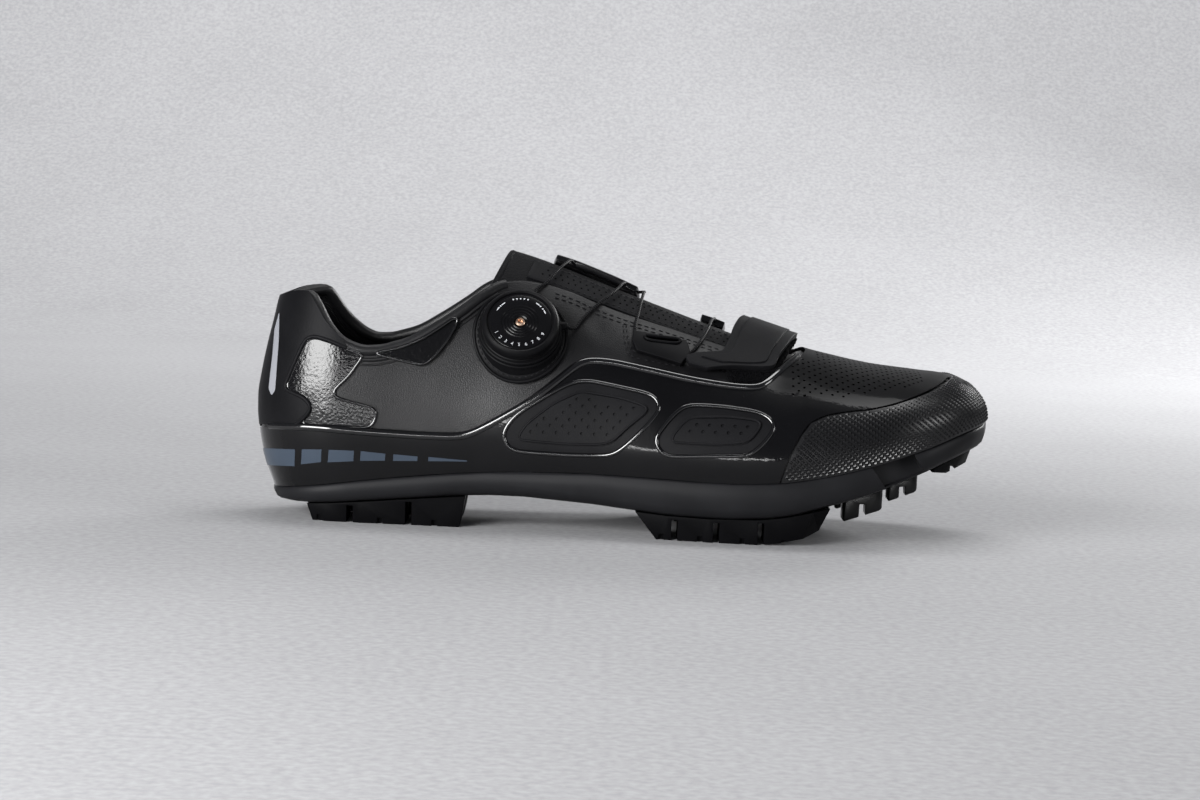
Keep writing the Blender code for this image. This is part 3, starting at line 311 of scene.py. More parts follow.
VAMP = Finish("vamp_gloss", (0.0040, 0.0040, 0.0046), 0.28, "patent", Grain.PATENT, 0.0011, 0.10,
              coat=0.6, coat_roughness=0.12, specular=0.10, coat_ior=1.35)
PAD = Finish("window_pad", (0.0055, 0.0055, 0.0063), 0.50, "matte_leather", Grain.LEATHER,
             0.0006, 0.16, specular=0.07)
CAP = Finish("toe_rubber", (0.0040, 0.0040, 0.0046), 0.32, "toe_rubber", Grain.RUBBER, 0.0012,
             0.06, specular=0.42)
BAND = Finish("moulded_band", (0.0090, 0.0091, 0.0102), 0.50, "moulded_band", Grain.RUBBER,
              0.0006, 0.05, specular=0.11)
TREAD = Finish("tread_rubber", (0.0020, 0.0020, 0.0024), 0.50, "tread_rubber", Grain.RUBBER,
               0.0008, 0.08, specular=0.05)
STUD = Finish("stud_rubber", (0.0030, 0.0030, 0.0034), 0.30, "tread_rubber", Grain.RUBBER, 0.0008,
              0.05, specular=0.30)
LINING = Finish("lining_fabric", (0.0060, 0.0060, 0.0068), 0.90, "lining_fabric", Grain.FABRIC,
                0.0009, 0.5, sheen=0.05, specular=0.05)
PILE = Finish("hook_pile", (0.0030, 0.0030, 0.0034), 0.95, "lining_fabric", Grain.FABRIC, 0.0005,
              1.0, specular=0.02)
PLASTIC = Finish("dial_plastic", (0.0032, 0.0032, 0.0037), 0.45, "dial_plastic", Grain.RUBBER,
                 0.0009, 0.05, specular=0.07)
CAP_DISC = Finish("dial_cap", (0.0030, 0.0030, 0.0035), 0.25, "dial_plastic", specular=0.08,
                  coat=0.15, coat_roughness=0.10, coat_ior=1.4)
BRASS = Finish("screw_brass", (0.62, 0.44, 0.33), 0.30, "screw_brass", metallic=1.0)
PRINT_WHITE = Finish("dial_ticks", (0.42, 0.43, 0.45), 0.5, "dial_plastic", mottle=0.05)
PRINT_BLUE = Finish("blue_dashes", (0.0340, 0.0450, 0.0620), 0.35, "patent", coat=0.3, mottle=0.04,
                    specular=0.10, coat_ior=1.3)
STRIPE = Finish("heel_stripe", (0.2000, 0.2050, 0.2250), 0.45, "matte_leather", Grain.FABRIC,
                0.0006, 0.2, mottle=0.04)
LACE = Finish("lace_cord", (0.0040, 0.0040, 0.0046), 0.50, "lace_cord", Grain.TWIST, 0.0008, 0.6,
              specular=0.10)
THREAD = Finish("thread", (0.0085, 0.0085, 0.0095), 0.60, "matte_leather", mottle=0.1,
                specular=0.12)
# Near black for the insides of holes, the guide's slot and the tongue's dots: painted shade
# standing for the dark inside a hole.
HOLE_SHADE = Finish("pinhole", (0.0004, 0.0004, 0.0005), 0.90, "strap_leather", mottle=0.0,
                specular=0.0)


# ---------------------------------------------------------------- the last


def curve_through(xs: Sequence[float], ys: Sequence[float]) -> Curve:
    """A smooth curve through points that never overshoots them.

    Args:
        xs: rising positions.
        ys: the values there.

    Returns:
        The curve as a function.
    """
    steps = [b - a for a, b in zip(xs, xs[1:])]
    slopes = [(b - a) / step for a, b, step in zip(ys, ys[1:], steps)]
    tangents = [slopes[0]]
    for before, after in zip(slopes, slopes[1:]):
        tangents.append(0.0 if before * after <= 0 else 2 * before * after / (before + after))
    tangents.append(slopes[-1])

    def value(x: float) -> float:
        """The curve's value at x."""
        x = min(max(x, xs[0]), xs[-1])
        i = min(max(bisect.bisect_right(xs, x) - 1, 0), len(xs) - 2)
        t = (x - xs[i]) / steps[i]
        return (ys[i] * (2 * t ** 3 - 3 * t ** 2 + 1) + ys[i + 1] * (3 * t ** 2 - 2 * t ** 3)
                + steps[i] * (tangents[i] * (t ** 3 - 2 * t ** 2 + t)
                              + tangents[i + 1] * (t ** 3 - t ** 2)))

    return value


def curves_of(names: Sequence[str], table: Sequence[Sequence[float]]) -> dict[str, Curve]:
    """One smooth curve for each column after the first.

    Args:
        names: the columns' names.
        table: the rows.

    Returns:
        A curve for each name.
    """
    xs = [row[0] for row in table]
    return {name: curve_through(xs, [row[i] for row in table])
            for i, name in enumerate(names) if i}


@dataclass
class Last:
    """The form that the whole shoe is worked out from.

    Attributes:
        length: outer length.
        ball_width: width over the ball.
        upper_height: height of the upper above the sole's edge.
        sole_height: height of the sole's edge at the waist.
        toe_spring: how far the toe rises.
        heel_bulge: how far the heel bulges back.
        toe_roll: how far the toe's top leans back.
        heel_round: reach of the heel's rounding in plan.
        toe_round: reach of the toe's rounding in plan.
        wall: thickness of the upper.
        clearance: gap between neighbouring pieces.
        feather_rows: share of the rows below the widest line.
        throat_turn: station where the throat's end starts to round.
        throat_front: station of the throat's front end.
        origin: where the heel's floor point stands in the row's frame.
        pattern_side: distance of the side pattern's plane from the middle.
        pattern_tall: the pattern's height in sole and upper heights.
        sight: the point from which the side pattern is seen.
        section_names: what the columns of the sections are.
        sections: the last's cross-sections, as shares of the sizes above.
        back_line: the heel's back, as height and bulge.
        top_edge: height of the collar and throat edge on both sides.
        band_names: what the columns of the band are.
        band: the sole's underside.
        section: the sections as curves.
        edge: the top edge as curves.
        under: the band as curves.
        back: the back line as a curve.
    """

    length: float = 0.284
    ball_width: float = 0.098
    upper_height: float = 0.084
    sole_height: float = 0.024
    toe_spring: float = 0.023
    heel_bulge: float = 0.0072
    toe_roll: float = 0.0065
    heel_round: float = 0.030
    toe_round: float = 0.060
    wall: float = 0.0022
    clearance: float = 0.0003
    feather_rows: float = 0.2
    throat_turn: float = 0.694
    throat_front: float = 0.736
    origin: tuple[float, float, float] = (-0.141806, -0.000512, 0.0)
    pattern_side: float = 0.034
    pattern_tall: float = 2.63
    sight: tuple[float, float, float] = (0.1325, 1.1357, 0.1479)
    section_names: tuple[str, ...] = ("along", "rise", "spring", "axis", "lateral", "medial",
                                      "bulge", "belly", "crown_side", "crown", "fullness")
    sections: tuple[tuple[float, ...], ...] = (
        (0.030, 0.46, 0.00, 0.000, 0.286, 0.286, 0.031, 0.32, 0.000, 1.27, 2.20),
        (0.106, 0.61, 0.00, 0.000, 0.301, 0.301, 0.031, 0.28, 0.000, 1.23, 2.20),
        (0.211, 0.79, 0.00, 0.000, 0.306, 0.301, 0.026, 0.21, 0.010, 1.14, 2.10),
        (0.299, 0.90, 0.00, 0.000, 0.316, 0.296, 0.026, 0.18, 0.020, 1.06, 1.90),
        (0.370, 0.96, 0.00, 0.000, 0.342, 0.301, 0.026, 0.14, 0.031, 0.980, 1.72),
        (0.458, 0.99, 0.00, 0.003, 0.381, 0.327, 0.020, 0.12, 0.041, 0.866, 1.62),
        (0.546, 0.98, 0.00, 0.012, 0.439, 0.378, 0.018, 0.11, 0.056, 0.762, 1.60),
        (0.634, 0.96, 0.00, 0.026, 0.490, 0.423, 0.015, 0.10, 0.066, 0.667, 1.65),
        (0.704, 0.96, 0.04, 0.036, 0.510, 0.444, 0.012, 0.095, 0.071, 0.583, 1.80),
        (0.757, 0.96, 0.14, 0.044, 0.510, 0.442, 0.012, 0.09, 0.071, 0.510, 1.95),
        (0.827, 0.96, 0.35, 0.054, 0.495, 0.429, 0.010, 0.078, 0.071, 0.405, 2.10),
        (0.898, 0.96, 0.63, 0.062, 0.474, 0.408, 0.008, 0.066, 0.071, 0.304, 2.20),
        (0.951, 0.96, 0.87, 0.068, 0.454, 0.388, 0.006, 0.054, 0.071, 0.223, 2.20),
        (0.993, 0.96, 1.02, 0.071, 0.439, 0.367, 0.005, 0.048, 0.071, 0.143, 2.20),
    )
    back_line: tuple[Place, ...] = (
        (0.00, 0.00), (0.13, 0.56), (0.24, 0.85), (0.35, 0.99), (0.41, 1.00), (0.51, 0.86),
        (0.64, 0.59), (0.77, 0.26), (0.85, 0.07), (0.90, -0.12), (1.30, -2.00),
    )
    top_edge: tuple[tuple[float, float, float], ...] = (
        (0.030, 0.862, 0.862), (0.056, 0.882, 0.882), (0.072, 0.876, 0.880),
        (0.081, 0.845, 0.868), (0.088, 0.811, 0.841), (0.097, 0.762, 0.797),
        (0.106, 0.720, 0.756), (0.123, 0.658, 0.692), (0.141, 0.619, 0.640),
        (0.158, 0.598, 0.612), (0.176, 0.595, 0.607), (0.194, 0.605, 0.617),
        (0.211, 0.619, 0.631), (0.246, 0.679, 0.691), (0.282, 0.752, 0.764),
        (0.310, 0.815, 0.825), (0.334, 0.849, 0.849), (0.352, 0.849, 0.849),
        (0.387, 0.830, 0.830), (0.423, 0.793, 0.795), (0.458, 0.746, 0.750),
        (0.493, 0.706, 0.710), (0.528, 0.675, 0.678), (0.563, 0.644, 0.646),
        (0.599, 0.612, 0.614), (0.634, 0.581, 0.583), (0.669, 0.550, 0.552),
        (0.700, 0.520, 0.522),
    )
    band_names: tuple[str, ...] = ("along", "underside", "spring", "arch")
    band: tuple[tuple[float, ...], ...] = (
        (0.030, 0.26, 0.00, 0.00), (0.060, 0.27, 0.00, 0.00), (0.120, 0.32, 0.00, 0.02),
        (0.211, 0.43, 0.00, 0.04), (0.292, 0.52, 0.00, 0.05), (0.352, 0.55, 0.00, 0.05),
        (0.440, 0.51, 0.00, 0.04), (0.520, 0.43, 0.00, 0.02), (0.580, 0.39, 0.00, 0.00),
        (0.650, 0.385, 0.00, 0.00), (0.704, 0.40, 0.04, 0.00), (0.757, 0.43, 0.14, 0.00),
        (0.827, 0.46, 0.38, 0.00), (0.898, 0.50, 0.68, 0.00), (0.951, 0.52, 0.93, 0.00),
        (0.993, 0.54, 1.08, 0.00),
    )
    section: dict[str, Curve] = field(init=False)
    edge: dict[str, Curve] = field(init=False)
    under: dict[str, Curve] = field(init=False)
    back: Curve = field(init=False)

    def __post_init__(self) -> None:
        """Turns the tables into curves."""
        self.section = curves_of(self.section_names, self.sections)
        self.edge = curves_of(("along", "lateral", "medial"), self.top_edge)
        self.under = curves_of(self.band_names, self.band)
        self.back = curve_through([row[0] for row in self.back_line],
                                  [row[1] for row in self.back_line])

    @property
    def heel_end(self) -> float:
        """Where the sections start."""
        return self.sections[0][0]

    @property
    def toe_end(self) -> float:
        """Where the sections end."""
        return self.sections[-1][0]

    def row(self, spot: Vector) -> Vector:
        """A point of the heel's frame in the row's frame."""
        return spot + Vector(self.origin)

    def feather(self, along: float) -> float:
        """Height of the line where the upper meets the sole."""
        return (self.section["rise"](along) * self.sole_height
                + self.section["spring"](along) * self.toe_spring)

    def underside(self, along: float) -> float:
        """Height of the sole's underside at its rim."""
        return (self.under["underside"](along) * self.sole_height
                + self.under["spring"](along) * self.toe_spring)

    @staticmethod
    def _rounding(distance: float, reach: float, power: float = 2.3) -> float:
        """Share of the full width that a rounded end has at a distance from its tip."""
        t = min(max(distance / reach, 0.0), 1.0)
        return (1 - (1 - t) ** power) ** (1 / power)

    def point(self, side: Side, along: float, rows: float) -> Vector:
        """A point of the last, in the heel's frame.

        Args:
            side: the side of the shoe.
            along: share of the length.
            rows: 0 at the feather line, 1 at the crown.

        Returns:
            The point.
        """
        at = {name: curve(along) for name, curve in self.section.items()}
        ends = self._rounding((along - self.heel_end) * self.length, self.heel_round)
        ends *= self._rounding((self.toe_end - along) * self.length, self.toe_round)
        axis = at["axis"] * self.ball_width
        foot = at["lateral" if side is Side.LATERAL else "medial"] * self.ball_width * ends
        wide = foot + at["bulge"] * self.ball_width * ends
        belly = at["belly"] * self.upper_height
        crown = at["crown"] * self.upper_height
        crown_side = axis + (at["crown_side"] * self.ball_width - axis) * ends
        if rows <= self.feather_rows:
            share = rows / self.feather_rows
            reach = foot + (wide - foot) * (1 - (1 - share) ** 2)
            y, above = axis + side.value * reach, belly * share
        else:
            share = (rows - self.feather_rows) / (1 - self.feather_rows)
            level = math.sin(share * math.pi / 2)
            shape = max(1 - level ** at["fullness"], 0.0) ** (1 / at["fullness"])
            y = crown_side + (axis + side.value * wide - crown_side) * shape
            above = belly + (crown - belly) * level
        x = along * self.length
        back_fade = max(0.0, 1 - (along - self.heel_end) / 0.25) ** 2
        x -= self.back(above / self.upper_height) * self.heel_bulge * back_fade
        toe_fade = max(0.0, 1 - (self.toe_end - along) / 0.12) ** 2
        x -= self.toe_roll * toe_fade * (above / crown) ** 2.4
        return Vector((x, y, self.feather(along) + above))

    def normal(self, side: Side, along: float, rows: float) -> Vector:
        """The outward direction at a point of the last.

        Args:
            side: the side of the shoe.
            along: share of the length.
            rows: 0 at the feather line, 1 at the crown.

        Returns:
            The unit normal.
        """
        step = 0.002
        a = min(max(along, self.heel_end + step), self.toe_end - step)
        r = min(max(rows, step), 1 - step)
        ahead = self.point(side, a + step, r) - self.point(side, a - step, r)
        up = self.point(side, a, r + step) - self.point(side, a, r - step)
        return (up.cross(ahead) if side is Side.MEDIAL else ahead.cross(up)).normalized()

    def over(self, along: float, turn: float, above: float) -> Vector:
        """A point above the last, in the row's frame.

        Args:
            along: share of the length.
            turn: how far round from the crown, lateral below zero.
            above: height above the last.

        Returns:
            The point.
        """
        side = Side.LATERAL if turn < 0 else Side.MEDIAL
        if abs(turn) < 0.02:
            ahead = (self.point(side, along + 0.002, 1) - self.point(side, along - 0.002, 1))
            normal = ahead.cross(Vector((0, 1, 0))).normalized()
            if abs(turn) > 1e-6:
                normal = normal.lerp(self.normal(side, along, 1 - abs(turn)),
                                     abs(turn) / 0.02).normalized()
        else:
            normal = self.normal(side, along, 1 - abs(turn))
        return self.row(self.point(side, along, 1 - abs(turn)) + normal * above)

    def edge_rows(self, side: Side, along: float) -> float:
        """Where the collar or throat edge stands on a section.

        Args:
            side: the side of the shoe.
            along: share of the length.

        Returns:
            The share of the rows, 1 ahead of the throat.
        """
        if along >= self.throat_front:
            return 1.0
        wanted = self.edge["lateral" if side is Side.LATERAL else "medial"](along)
        wanted *= self.upper_height
        low, high = 0.0, 1.0
        for _ in range(26):
            middle = (low + high) / 2
            if self.point(side, along, middle).z - self.feather(along) < wanted:
                low = middle
            else:
                high = middle
        if along > self.throat_turn:
            t = (along - self.throat_turn) / (self.throat_front - self.throat_turn)
            low += (1 - low) * (1 - math.sqrt(max(1 - t * t, 0.0)))
        return low

    def plan(self, side: Side, along: float, out: float) -> Vector:
        """A point of the sole's plan outline, in the heel's frame.

        Args:
            side: the side of the shoe.
            along: share of the length.
            out: how far outside the feather line.

        Returns:
            The point, with no height.
        """
        foot = self.point(side, along, 0)
        if along <= self.heel_end + 1e-6 or along >= self.toe_end - 1e-6:
            end = -1 if along <= self.heel_end + 1e-6 else 1
            return Vector((foot.x + end * out, foot.y, 0))
        step = min(0.0015, (along - self.heel_end) / 2, (self.toe_end - along) / 2)
        run = self.point(side, along + step, 0) - self.point(side, along - step, 0)
        normal = Vector((-run.y * side.value, run.x * side.value, 0)).normalized()
        return Vector((foot.x + normal.x * out, foot.y + normal.y * out, 0))

    def drawn(self, side: Side, along: float, up: float) -> Vector:
        """A point of the side pattern, in the heel's frame.

        Args:
            side: the side of the shoe.
            along: share of the length.
            up: share of the pattern's height.

        Returns:
            The point on the pattern's plane.
        """
        tall = self.pattern_tall * (self.sole_height + self.upper_height)
        return Vector((along * self.length, side.value * self.pattern_side, up * tall))

    def eye(self, side: Side) -> Vector:
        """The point from which a side's pattern is seen."""
        return Vector((self.sight[0], side.value * self.sight[1], self.sight[2]))

    def seen(self, side: Side, spot: Vector) -> Place:
        """Where a point of the heel's frame shows in the side pattern."""
        eye = self.eye(side)
        ray = spot - eye
        share = (side.value * self.pattern_side - eye.y) / ray.y
        hit = eye + ray * share
        return hit.x, hit.z

    def under_pattern(self, side: Side, along: float, up: float,
                      above: float) -> tuple[Vector, Vector]:
        """The point above the last that shows at a place of the side pattern.

        Args:
            side: the side of the shoe.
            along: share of the length in the pattern.
            up: share of the pattern's height.
            above: height above the last.

        Returns:
            The point in the row's frame and the last's normal there.
        """
        goal = self.drawn(side, along, up)
        a = min(max(along, self.heel_end + 0.004), self.toe_end - 0.004)
        low, high = 0.02, 0.98
        for _ in range(8):
            middle = (low + high) / 2
            if self.seen(side, self.point(side, a, middle))[1] < goal.z:
                low = middle
            else:
                high = middle
        r = (low + high) / 2

        def off(a0: float, r0: float) -> tuple[float, float]:
            """How far a place of the last shows from the goal."""
            spot = self.point(side, a0, r0) + self.normal(side, a0, r0) * above
            x, z = self.seen(side, spot)
            return x - goal.x, z - goal.z

        for _ in range(5):
            step = 1e-3
            x0, z0 = off(a, r)
            xa, za = off(a + step, r)
            xr, zr = off(a, r + step)
            da, db, dc, dd = (xa - x0) / step, (xr - x0) / step, (za - z0) / step, (zr - z0) / step
            det = da * dd - db * dc
            if abs(det) < 1e-9:
                break
            a -= min(max((dd * x0 - db * z0) / det, -0.03), 0.03)
            r -= min(max((da * z0 - dc * x0) / det, -0.08), 0.08)
            a = min(max(a, self.heel_end + 0.001), self.toe_end - 0.001)
            r = min(max(r, 0.01), 0.99)
        normal = self.normal(side, a, r)
        return self.row(self.point(side, a, r) + normal * above), normal


# ---------------------------------------------------------------- modelling tools


class Bench:
    """The operators that pieces are made with."""

    @staticmethod
    def clear() -> None:
        """Leaves edit mode and deselects everything."""
        if bpy.context.object and bpy.context.object.mode != "OBJECT":
            bpy.ops.object.mode_set(mode="OBJECT")
        bpy.ops.object.select_all(action="DESELECT")

    @staticmethod
    def pick(obj: bpy.types.Object) -> None:
        """Makes one object the selected and active one."""
        Bench.clear()
        obj.select_set(True)
        bpy.context.view_layer.objects.active = obj

    @staticmethod
    def named(name: str) -> bpy.types.Object:
        """Names the object that an operator has just added."""
        obj = bpy.context.object
        obj.name = name
        obj.data.name = name
        return obj

    @staticmethod
    def apply(obj: bpy.types.Object) -> bpy.types.Object:
        """Applies all the modifiers of an object.

        Args:
            obj: the object.

        Returns:
            The same object.
        """
        Bench.pick(obj)
        for modifier in list(obj.modifiers):
            bpy.ops.object.modifier_apply(modifier=modifier.name)
        return obj

    @staticmethod
    @contextmanager
    def editing(obj: bpy.types.Object) -> Iterator[None]:
        """Holds an object in edit mode with everything selected.

        Args:
            obj: the object.

        Yields:
            Nothing; edit mode ends with the block.
        """
        Bench.pick(obj)
        bpy.ops.object.mode_set(mode="EDIT")
        bpy.ops.mesh.select_all(action="SELECT")
        yield
        bpy.ops.object.mode_set(mode="OBJECT")

    @staticmethod
    def sheet(name: str, columns: int, rows: int,
              place: Callable[[float, float], Vector]) -> bpy.types.Object:
        """A grid whose points are laid where a function puts them.

        Args:
            name: the object's name.
            columns: faces along the first direction.
            rows: faces along the second.
            place: gives a point for two shares from 0 to 1.

        Returns:
            The open sheet.
        """
        Bench.clear()
        bpy.ops.mesh.primitive_grid_add(x_subdivisions=columns, y_subdivisions=rows, size=1.0)
        obj = Bench.named(name)
        for vert in obj.data.vertices:
            vert.co = place(*(min(max(part + 0.5, 0.0), 1.0) for part in vert.co[:2]))
        return obj

    @staticmethod
    def join(name: str, objects: Sequence[bpy.types.Object]) -> bpy.types.Object:
        """Joins objects into one.

        Args:
            name: the joined object's name.
            objects: at least one object.

        Returns:
            The joined object.
        """
        Bench.pick(objects[0])
        for obj in objects:
            obj.select_set(True)
        if len(objects) > 1:
            bpy.ops.object.join()
        return Bench.named(name)

    @staticmethod
    def clean(obj: bpy.types.Object, distance: float = 1e-6) -> bpy.types.Object:
        """Merges doubles and turns all normals outwards.

        Args:
            obj: the object.
            distance: the merge distance.

        Returns:
            The same object.
        """
        with Bench.editing(obj):
            bpy.ops.mesh.remove_doubles(threshold=distance)
            bpy.ops.mesh.normals_make_consistent(inside=False)
        return obj

    @staticmethod
    def face_up(obj: bpy.types.Object, towards: Callable[[Vector], Vector]) -> bpy.types.Object:
        """Flips an open sheet if most of it faces away from where it should.

        Args:
            obj: the open sheet.
            towards: gives the outward direction at a point.

        Returns:
            The same object.
        """
        score = sum(poly.normal.dot(towards(poly.center)) * poly.area
                    for poly in obj.data.polygons)
        if score < 0:
            with Bench.editing(obj):
                bpy.ops.mesh.flip_normals()
        return obj

    @staticmethod
    def wall(obj: bpy.types.Object, thickness: float, outwards: bool,
             inner_slot: int = 0) -> bpy.types.Object:
        """Gives an open sheet its thickness.

        Args:
            obj: the open sheet.
            thickness: the wall.
            outwards: whether it grows outwards.
            inner_slot: how many slots further the inner face's material is.

        Returns:
            The same object, closed.
        """
        wall = obj.modifiers.new("Wall", "SOLIDIFY")
        wall.thickness = thickness
        wall.offset = 1 if outwards else -1
        wall.use_even_offset = True
        wall.material_offset = inner_slot
        return Bench.apply(obj)

    @staticmethod
    def bevel(obj: bpy.types.Object, width: float, segments: int = 2,
              angle: float = 35) -> bpy.types.Object:
        """Rounds the sharp edges of a closed piece.

        Args:
            obj: the piece.
            width: the bevel's width.
            segments: its steps.
            angle: edges sharper than this are rounded, in degrees.

        Returns:
            The same object.
        """
        soft = obj.modifiers.new("Soft", "BEVEL")
        soft.width = width
        soft.segments = segments
        soft.limit_method = "ANGLE"
        soft.angle_limit = math.radians(angle)
        soft.harden_normals = False
        return Bench.apply(obj)

    @staticmethod
    def slab(name: str, size: tuple[int, int], place: Callable[[float, float], Vector],
             thickness: float, outwards: bool, edge: tuple[float, int]) -> bpy.types.Object:
        """A sheet that faces up, with a thickness and rounded edges.

        Args:
            name: the object's name.
            size: faces along its two directions.
            place: gives a point for two shares from 0 to 1.
            thickness: its wall.
            outwards: whether the wall grows upwards.
            edge: width and steps of the rounding.

        Returns:
            The closed slab.
        """
        slab = Bench.sheet(name, *size, place)
        Bench.face_up(slab, lambda spot: Vector((0, 0, 1)))
        Bench.wall(slab, thickness, outwards)
        return Bench.bevel(slab, *edge)

    @staticmethod
    def boolean(obj: bpy.types.Object, tool: bpy.types.Object,
                operation: str) -> bpy.types.Object:
        """Cuts, joins or intersects with another closed mesh.

        Args:
            obj: the piece.
            tool: the other mesh.
            operation: DIFFERENCE, UNION or INTERSECT.

        Returns:
            The piece.
        """
        cut = obj.modifiers.new("Cut", "BOOLEAN")
        cut.operation = operation
        cut.object = tool
        cut.solver = "EXACT"
        if tool.data.materials:
            cut.material_mode = "TRANSFER"
        Bench.apply(obj)
        bpy.data.objects.remove(tool)
        return obj

    @staticmethod
    def smooth(obj: bpy.types.Object, angle: float = 40) -> bpy.types.Object:
        """Shades a piece smooth up to an angle in degrees.

        Args:
            obj: the piece.
            angle: edges sharper than this stay sharp.

        Returns:
            The same object.
        """
        Bench.pick(obj)
        bpy.ops.object.shade_smooth_by_angle(angle=math.radians(angle))
        return obj

    @staticmethod
    def dress(obj: bpy.types.Object, finish: Finish,
              node: str | Sequence[str] = ()) -> bpy.types.Object:
        """Gives a piece its finish and its place in the frame.

        Args:
            obj: the piece.
            finish: its finish.
            node: the CAD nodes that it stands for.

        Returns:
            The same object.
        """
        if not obj.data.materials:
            obj.data.materials.append(finish.material())
        else:
            obj.data.materials[0] = finish.material()
        names = [node] if isinstance(node, str) else list(node)
        if names:
            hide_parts(*names)
        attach(obj, "root")
        LOG.info("%s: %d faces", obj.name, len(obj.data.polygons))
        return obj

    @staticmethod
    def tube(name: str, route: Sequence[Vector], radius: float, closed: bool = False,
             sides: int = 2) -> bpy.types.Object:
        """A round cord along a route, as a closed mesh.

        Args:
            name: the object's name.
            route: its points, in the row's frame.
            radius: its radius.
            closed: whether it runs back to its start.
            sides: the bevel resolution.

        Returns:
            The tube.
        """
        curve = bpy.data.curves.new(name, "CURVE")
        curve.dimensions = "3D"
        curve.bevel_depth = radius
        curve.bevel_resolution = sides
        curve.use_fill_caps = True
        spline = curve.splines.new("POLY")
        spline.points.add(len(route) - 1)
        for knot, spot in zip(spline.points, route):
            knot.co = (*spot, 1)
        spline.use_cyclic_u = closed
        obj = bpy.data.objects.new(name, curve)
        bpy.context.scene.collection.objects.link(obj)
        Bench.pick(obj)
        bpy.ops.object.convert(target="MESH")
        Bench.named(name)
        return Bench.smooth(Bench.clean(bpy.context.object), 60)

    @staticmethod
    def frame_at(spot: Vector, normal: Vector, ahead: Vector) -> Matrix:
        """A frame at a spot whose Z is the normal and whose X points ahead.

        Args:
            spot: the frame's place.
            normal: its Z.
            ahead: roughly its X.

        Returns:
            The frame.
        """
        out = normal.normalized()
        first = (ahead - out * ahead.dot(out)).normalized()
        return Matrix.Translation(spot) @ Matrix((first, out.cross(first), out)).transposed(
            ).to_4x4()

    @staticmethod
    def scatter(name: str, template: bpy.types.Object,
                frames: Sequence[Matrix]) -> bpy.types.Object:
        """Copies a small shape to many frames and joins the copies.

        Args:
            name: the joined piece's name.
            template: the shape; it is used up.
            frames: a frame for each copy.

        Returns:
            The joined piece.
        """
        copies = []
        for frame in frames:
            copy = bpy.data.objects.new(name, template.data.copy())
            copy.data.transform(frame)
            bpy.context.scene.collection.objects.link(copy)
            copies.append(copy)
        bpy.data.objects.remove(template)
        return Bench.join(name, copies)

    @staticmethod
    def lathe(name: str, profile: Sequence[Place], steps: int,
              frame: Matrix) -> bpy.types.Object:
        """A turned body.

        Args:
            name: the object's name.
            profile: (radius, height) steps from the top down the outer side.
            steps: steps of the turn.
            frame: the axis frame: its Z is the turning axis.

        Returns:
            The body, with its place in its mesh.
        """
        Bench.clear()
        bpy.ops.mesh.primitive_circle_add(vertices=len(profile), radius=1.0, fill_type="NOTHING")
        obj = Bench.named(name)
        for vert, (radius, height) in zip(obj.data.vertices, profile):
            vert.co = Vector((radius, 0, height))
        screw = obj.modifiers.new("Turn", "SCREW")
        screw.steps = steps
        screw.render_steps = steps
        screw.use_merge_vertices = True
        screw.merge_threshold = 0.00001
        Bench.apply(obj)
        obj.data.transform(frame)
        return Bench.clean(obj)


def polar(radius: float, angle: float, height: float) -> Vector:
    """A point at a distance and an angle from the Z axis, and at a height."""
    return Vector((radius * math.cos(angle), radius * math.sin(angle), height))


def spline_route(points: Sequence[Vector], spacing: float, closed: bool = False) -> list[Vector]:
    """Evenly spaced points on a smooth curve through the given ones.

    Args:
        points: the route's own points.
        spacing: the distance between the returned points.
        closed: whether the route runs back to its start.

    Returns:
        The points.
    """
    ring = list(points)
    if closed:
        ring = ring[-3:] + ring + ring[:3]
    lengths = [0.0]
    for before, after in zip(ring, ring[1:]):
        lengths.append(lengths[-1] + max((after - before).length, 1e-7))
    curves = [curve_through(lengths, [spot[axis] for spot in ring]) for axis in range(3)]
    start, end = (lengths[3], lengths[-3]) if closed else (0.0, lengths[-1])
    count = max(round((end - start) / spacing), 2)
    last = count if closed else count + 1
    places = [start + (end - start) * i / count for i in range(last)]
    return [Vector([curve(place) for curve in curves]) for place in places]


def rounded_outline(corners: Sequence[Place], radius: float, steps: int = 4) -> list[Place]:
    """An outline with its corners rounded.

    Args:
        corners: the corners.
        radius: how far from a corner its rounding starts.
        steps: points of each rounding.

    Returns:
        The rounded outline.
    """
    made: list[Place] = []
    count = len(corners)
    for i, corner in enumerate(corners):
        before, after = Vector(corners[i - 1]), Vector(corners[(i + 1) % count])
        here = Vector(corner)
        reach = [min(radius, (other - here).length * 0.45) for other in (before, after)]
        start = here + (before - here).normalized() * reach[0]
        end = here + (after - here).normalized() * reach[1]
        for step in range(steps + 1):
            t = step / steps
            spot = start * (1 - t) ** 2 + here * 2 * t * (1 - t) + end * t ** 2
            made.append((spot.x, spot.y))
    return made


# ---------------------------------------------------------------- outlines of the side pattern

